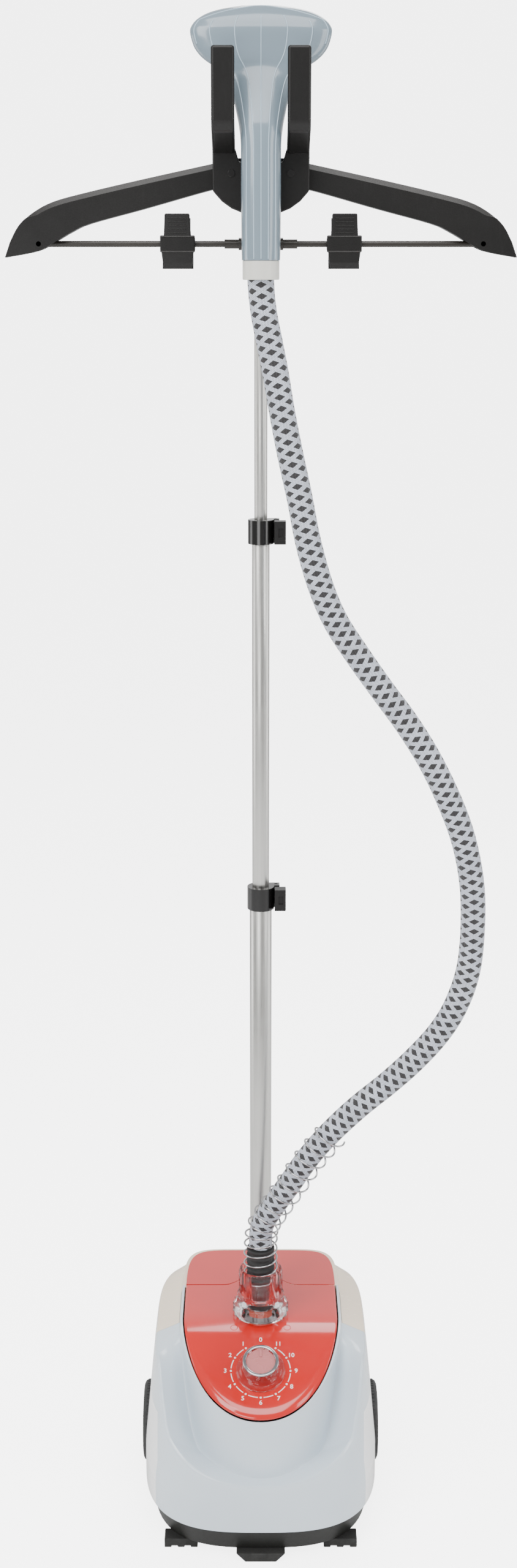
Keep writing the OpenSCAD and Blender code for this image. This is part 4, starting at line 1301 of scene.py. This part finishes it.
class STEAMER_OT_nut(bpy.types.Operator):
    """Build the clear nut that holds the hose."""

    bl_idname = "steamer.nut"
    bl_label = "Hose nut"

    def execute(self, context):
        ring = [(20, 225), (30.2, 225), (30.8, 225.5), (31, 226.6, 1.4), (31, 238, 1.4), (30.7, 239.3), (29.8, 240),
                (28.1, 240.4), (27.5, 241), (27.5, 249.8), (27.1, 250.6), (26.2, 251), (25.0, 251.4), (24.5, 252.4),
                (24.5, 254, 1), (24.5, 280, 1), (24.4, 282.2), (23.9, 283), (21.4, 283), (21, 282.6), (21, 244),
                (15, 244), (15, 232), (20, 232)]
        grips = sizes().grips
        place(lathe("clear_hose_nut", in_metres(ring), paint("clear_moulding"), 12 * grips, None, grips), "hose_nut")
        return {"FINISHED"}


TREAD_LUGS = 60


class STEAMER_OT_wheels(bpy.types.Operator):
    """Build the two wheels with their treaded tyres."""

    bl_idname = "steamer.wheels"
    bl_label = "Wheels"

    def execute(self, context):
        rubber = paint("tyre_rubber")
        for side, word in ((-1, "left"), (1, "right")):
            low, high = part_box("tyre_" + word)
            middle = [(a + b) / 2 for a, b in zip(low, high)]
            half, outer = (high[0] - low[0]) / 2, (high[2] - low[2]) / 2
            inner = outer - 8 * MM
            rise = [(inner, -half), (outer - 5 * MM, -half), (outer - 1.8 * MM, -half + 1.6 * MM),
                    (outer - 0.7 * MM, -half + 4 * MM)]
            ring = rise + [(radius, -along) for radius, along in reversed(rise)]
            turn = Matrix.Translation(middle) @ Matrix.Rotation(math.pi / 2, 4, "Y")
            tyre = lathe("tyre", ring, rubber, 128)
            lug = block("lug", (1.4 * MM, 2.6 * MM, 2 * half - 8 * MM), 0.4 * MM)
            tread = ring_of("tread", lug, TREAD_LUGS, outer - 0.75 * MM, rubber)
            whole = join("tyre_tread_" + word, [tyre, tread])
            whole.data.transform(turn)
            place(whole, "tyre_" + word)
            refined("wheel_hub_" + word, "dark_tray", 0.8 * MM)
        return {"FINISHED"}


# ---------------------------------------------------------------- mast and hanger


def tube_piece(node, name):
    """A drawn tube with softened rims."""
    low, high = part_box(node)
    outer = (high[0] - low[0]) / 2
    inner = outer - 1 * MM
    ring = [(inner, low[2]), (outer - 0.2 * MM, low[2]), (outer, low[2] + 0.4 * MM), (outer, high[2] - 0.4 * MM),
            (outer - 0.2 * MM, high[2]), (inner, high[2])]
    return place(lathe(name, ring, paint("satin_tube"), 96, Matrix.Translation(MAST)), node)


class STEAMER_OT_mast(bpy.types.Operator):
    """Build the telescoping mast with its clamps and latch levers."""

    bl_idname = "steamer.mast"
    bl_label = "Mast"

    def execute(self, context):
        for word in ("lower", "middle", "upper"):
            tube_piece("tube_" + word, word + "_mast_tube")
        for word in ("middle", "upper"):
            refined("bush_" + word, "black_satin_moulding", 0.2 * MM)
        for word in ("lower", "upper"):
            refined("clamp_" + word, "black_gloss_moulding", 0.9 * MM, 3)
        for word in ("lower", "upper"):
            refined("lever_" + word, "black_satin_moulding", 1.4 * MM, 3)
        return {"FINISHED"}


ARM_UPPER = [(38, 1519.6), (60, 1515.1), (120, 1502.4), (174, 1490.4), (212, 1480.6), (234, 1469.6), (249, 1456.5),
             (258.5, 1440)]
ARM_LOWER = [(264, 1425), (230, 1431.5), (212, 1440.5), (194, 1450.5), (175, 1458.6), (120, 1473), (60, 1489.4),
             (38, 1494.4)]
ARM_FRONT, ARM_BACK = 24, 44
ARM_MIDDLE = (ARM_FRONT + ARM_BACK) / 2 * MM
ARM_CHAMFER = 5.4


def finer(points, steps):
    """A smooth line through the points, with more of them."""
    line = [Vector(p) for p in points]
    count = (len(line) - 1) * steps
    return [tuple(smooth_through(line, i / steps)) for i in range(count + 1)]


def arm_piece(side, word):
    """One folding arm: a channel that is open below, with a broad chamfer along its upper front edge."""
    upper, lower = finer(ARM_UPPER, 4), finer(ARM_LOWER, 4)
    fade = [ease(243 - x, 0, 14) for x, z in upper]
    lowered = [(x, z - ARM_CHAMFER * f) for (x, z), f in zip(upper, fade)]
    rings = [(ARM_FRONT, lowered + lower), (ARM_FRONT + 3.4, upper + lower), (ARM_BACK, upper + lower)]
    count = len(upper + lower)
    points = [(side * x * MM, y * MM, z * MM) for y, outline in rings for x, z in outline]
    faces = grid_faces(3, count) + [tuple(range(count)), tuple(range(3 * count - 1, 2 * count - 1, -1))]
    arm = mend(piece_from("arm_" + word + "_channel", points, faces, paint("black_satin_moulding")))
    # The chamfer band takes the lighter black: a painted highlight where the chamfer catches the light
    arm.data.materials.append(paint("black_worn_edge"))
    for i in range(len(upper) - 1):
        if fade[i] > 0:
            arm.data.polygons[i].material_index = 1
    inner = ([(x, z - 5.4) for x, z in ARM_UPPER[1:6]]
             + [(252, 1444), (257, 1420), (228, 1420), (212, 1446), (175, 1462), (120, 1476.4), (60, 1492.5)])
    room = prism("arm_room", [(side * x, z) for x, z in inner], "XZ", ARM_FRONT + 3, ARM_BACK - 3, 0.01 * MM, 1)
    cut_away(arm, room)
    boss = cylinder("arm_boss", 11.6 * MM, (ARM_BACK - ARM_FRONT) * MM, 64, "Y", (side * 30 * MM, ARM_MIDDLE, 1.507))
    boss.data.materials.append(paint("black_satin_moulding"))
    soften(arm, 0.7 * MM, 3, 25)
    soften(boss, 0.6 * MM, 2, 40)
    return place(join("arm_" + word + "_finish", [arm, boss]), "arm_" + word)


CLIP_X, ROD_Z = 86 * MM, 1438.5 * MM


def clip_piece(side, word):
    """A trouser clip's front half: eyes on the rod, a ribbed thumb tab and a tapered jaw."""
    plate = prism("plate", [(-9.6, -8.4), (-5, -8.4), (-5, 8.6), (-9.6, 8.6)], "YZ", -18, 18, 1.3 * MM, 3)
    jaw_side = [(-9.5, -7), (-5, -7), (-2.6, -20), (-0.3, -23), (-0.3, -25), (-4.4, -25), (-8.4, -19)]
    jaw = prism("jaw", jaw_side, "YZ", -16.8, 16.8, 0.9 * MM, 3)
    for vertex in jaw.data.vertices:
        vertex.co.x *= 1 - 0.13 * min(max((-7 * MM - vertex.co.z) / (18 * MM), 0.0), 1.0)
    tab = prism("tab", [(-9.5, 7), (-5.2, 7), (-10.6, 30), (-14, 30)], "YZ", -13, 13, 1.3 * MM, 3)
    for vertex in tab.data.vertices:
        vertex.co.x *= 1.08 - 0.1 * min(max((vertex.co.z - 7 * MM) / (23 * MM), 0.0), 1.0)
    eyes = rod_eyes()
    grips = [in_metres([(x, -(10.5 + 0.75 * i), 11 + 3.6 * i) for x in (-9.5, 9.5)]) for i in range(5)]
    tab_ribs = wire("tab_ribs", grips, 0.55 * MM, paint("black_satin_moulding"), 8)
    # Lighter ridges along the plate's upper and lower front edges: a painted highlight
    edges = [in_metres([(x, -9.5, z) for x in (-17.2, 17.2)]) for z in (7.4, -7.6)]
    ridges = wire("ridges", edges, 0.7 * MM, paint("black_worn_edge"), 8)
    whole = join("clip_" + word + "_finish", [plate, jaw, tab, tab_ribs, ridges] + eyes)
    whole.data.transform(Matrix.Translation((side * CLIP_X, ARM_MIDDLE, ROD_Z)))
    return place(whole, "clip_" + word)


def rod_eyes():
    """The two rod eyes of a clip, about the rod's own axis."""
    bore, skin = 3.16 * MM, 6.4 * MM
    eyes = []
    for low in (-18, 7):
        ring = [(bore, low * MM), (skin - 0.5 * MM, low * MM), (skin, (low + 0.5) * MM), (skin, (low + 10.5) * MM),
                (skin - 0.5 * MM, (low + 11) * MM), (bore, (low + 11) * MM)]
        eyes.append(lathe("eye", ring, paint("black_satin_moulding"), 48, Matrix.Rotation(math.pi / 2, 4, "Y")))
    return eyes


def fork_piece():
    """The fork that holds the handset: a plate and two prongs with well rounded ends."""
    outline = [(17, 1468), (20, 1469), (30, 1473), (40, 1480), (49, 1490), (49, 1531), (26, 1531), (22, 1518)]
    outline += [(-x, z) for x, z in reversed(outline)]
    prong = [(12.6, 1512), (12.6, 1529.5), (-30, 1549), (-36, 1556), (-36, 1623.9), (-46, 1623.9), (-46, 1552),
             (-40, 1544), (5.6, 1525.4), (5.6, 1512)]
    parts = [prism("fork_plate", outline, "XZ", 4, 13.9, 1.4 * MM, 3)]
    parts += [prism("prong", prong, "YZ", low, low + 23, 2.9 * MM, 4) for low in (26, -49)]
    return place(join("fork_finish", parts), "fork")


class STEAMER_OT_hanger(bpy.types.Operator):
    """Build the hub, the fork, the folding arms, the rods and the trouser clips."""

    bl_idname = "steamer.hanger"
    bl_label = "Hanger"

    def execute(self, context):
        refined("hanger_hub", "black_satin_moulding", 1.5 * MM, 3)
        fork_piece()
        refined("rod_boss", "black_satin_moulding", 0.8 * MM, 3)
        refined("arm_screws", "black_gloss_moulding", 0.5 * MM, 3)
        for side, word in ((-1, "left"), (1, "right")):
            arm_piece(side, word)
            refined("rod_" + word, "blackened_rod", 0.4 * MM, 2)
            clip_piece(side, word)
            refined("clip_jaw_" + word, "black_satin_moulding", 0.5 * MM, 2)
        return {"FINISHED"}


# ---------------------------------------------------------------- handset


HEAD_RINGS = [
    (1422, 19.4, 19, -20, 2), (1440, 19.7, 19.2, -20, 2.1), (1490, 20, 19.6, -20, 2.2), (1530, 20, 19.4, -20, 2.2),
    (1548, 21.6, 18.6, -19, 2.2), (1562, 24.2, 17.4, -16, 2.1), (1580, 28.4, 15.6, -11, 2), (1594, 33.5, 15, -6, 2),
    (1603, 40, 15, -2, 2), (1609, 48, 15.2, 0, 2), (1614, 55.5, 15.6, 1, 2), (1620, 62, 16, 2, 2),
    (1628, 67.2, 16.4, 3, 2.1), (1640.5, 70.5, 16.4, 3.5, 2.2), (1647, 68.6, 15.6, 4, 2.2), (1653, 63, 14.2, 4.5, 2.1),
    (1658.5, 53, 11.6, 5.5, 2), (1662.5, 39, 8.6, 6.5, 2), (1665.5, 20, 5.4, 8, 2)]
PLATE_Y = 14 * MM


def head_at(level):
    """Half width, half depth, middle depth and roundness of the handset at a level of its rings."""
    z, half, deep, middle, power = (smooth_through([ring[k] for ring in HEAD_RINGS], level) for k in range(5))
    return z * MM, half * MM, deep * MM, middle * MM, power


def head_surface(level, share):
    """Point on the handset's front at a share of its half width."""
    z, half, deep, middle, power = head_at(level)
    return Vector((share * half, middle - deep * (1 - abs(share) ** power) ** (1 / power), z))


class STEAMER_OT_handset(bpy.types.Operator):
    """Build the handset with its ribbed steam head."""

    bl_idname = "steamer.handset"
    bl_label = "Handset"

    def execute(self, context):
        look = sizes()
        steps, sides = 10, 144
        rows = (len(HEAD_RINGS) - 1) * steps + 1
        points = []
        for r in range(rows):
            z, half, deep, middle, power = head_at(r / steps)
            for s in range(sides):
                x, y = outline_point(FULL * (s + 0.5) / sides, half, deep, deep, power, power, middle)
                points.append((x, min(y, PLATE_Y), z))
        ends = [tuple(reversed(range(sides))), tuple((rows - 1) * sides + s for s in range(sides))]
        faces = grid_faces(rows, sides) + ends
        shell = mend(piece_from("handset_body", points, faces, paint("handset_blue")))
        soften(shell, 0.5 * MM, 2, 50)
        lines = []
        for share in (-0.72, -0.37, 0.0, 0.37, 0.72):
            top = 14.6 if abs(share) > 0.5 else 15.3
            lines.append([head_surface(0.15 + (top - 0.15) * i / 150, share) for i in range(151)])
        # The ribs and the rim bead take a lighter blue: a painted highlight
        ribs = wire("fine_ribs", lines, look.rib_height, paint("handset_ridge"), 8)
        rim = []
        for i in range(121):
            turn = -1 + 2 * i / 120
            level = 17.7 - 5.6 * abs(turn) ** 2.4
            share = math.copysign(min(0.955, abs(turn) * 1.25), turn)
            rim.append(head_surface(level, share * 0.985))
        edge = wire("rim_bead", [rim], look.rib_height, paint("handset_ridge"), 8)
        place(join("handset_ribbed", [shell, ribs, edge]), "handset_shell")
        refined("steam_plate", "brushed_steel", 0.4 * MM)
        refined("handset_collar", "collar_cream", 1.0 * MM, 3)
        refined("handset_screws", "brushed_steel", 0.3 * MM)
        return {"FINISHED"}


# ---------------------------------------------------------------- add-on


class STEAMER_PT_panel(bpy.types.Panel):
    """Steamer tools in the 3D view's sidebar."""

    bl_idname = "STEAMER_PT_panel"
    bl_label = "Garment Steamer"
    bl_space_type = "VIEW_3D"
    bl_region_type = "UI"
    bl_category = "Steamer"

    def draw(self, context):
        box = self.layout.column(align=True)
        for group in ("steamer_sizes", "steamer_colours"):
            values = getattr(context.scene, group)
            for key in values.__annotations__:
                box.prop(values, key)
        for operator in BUILDERS:
            self.layout.operator(operator.bl_idname)


BUILDERS = (STEAMER_OT_stage, STEAMER_OT_hose, STEAMER_OT_covers, STEAMER_OT_panel, STEAMER_OT_tank, STEAMER_OT_tray,
            STEAMER_OT_inside, STEAMER_OT_dial, STEAMER_OT_nut, STEAMER_OT_wheels, STEAMER_OT_mast, STEAMER_OT_hanger,
            STEAMER_OT_handset)
CLASSES = (SteamerSizes, SteamerColours, *BUILDERS, STEAMER_PT_panel)


def register():
    for kind in CLASSES:
        bpy.utils.register_class(kind)
    bpy.types.Scene.steamer_sizes = PointerProperty(type=SteamerSizes)
    bpy.types.Scene.steamer_colours = PointerProperty(type=SteamerColours)


def unregister():
    del bpy.types.Scene.steamer_colours
    del bpy.types.Scene.steamer_sizes
    for kind in reversed(CLASSES):
        bpy.utils.unregister_class(kind)


def main():
    register()
    for operator in BUILDERS:
        group, name = operator.bl_idname.split(".")
        getattr(getattr(bpy.ops, group), name)()


if __name__ == "__main__":
    main()
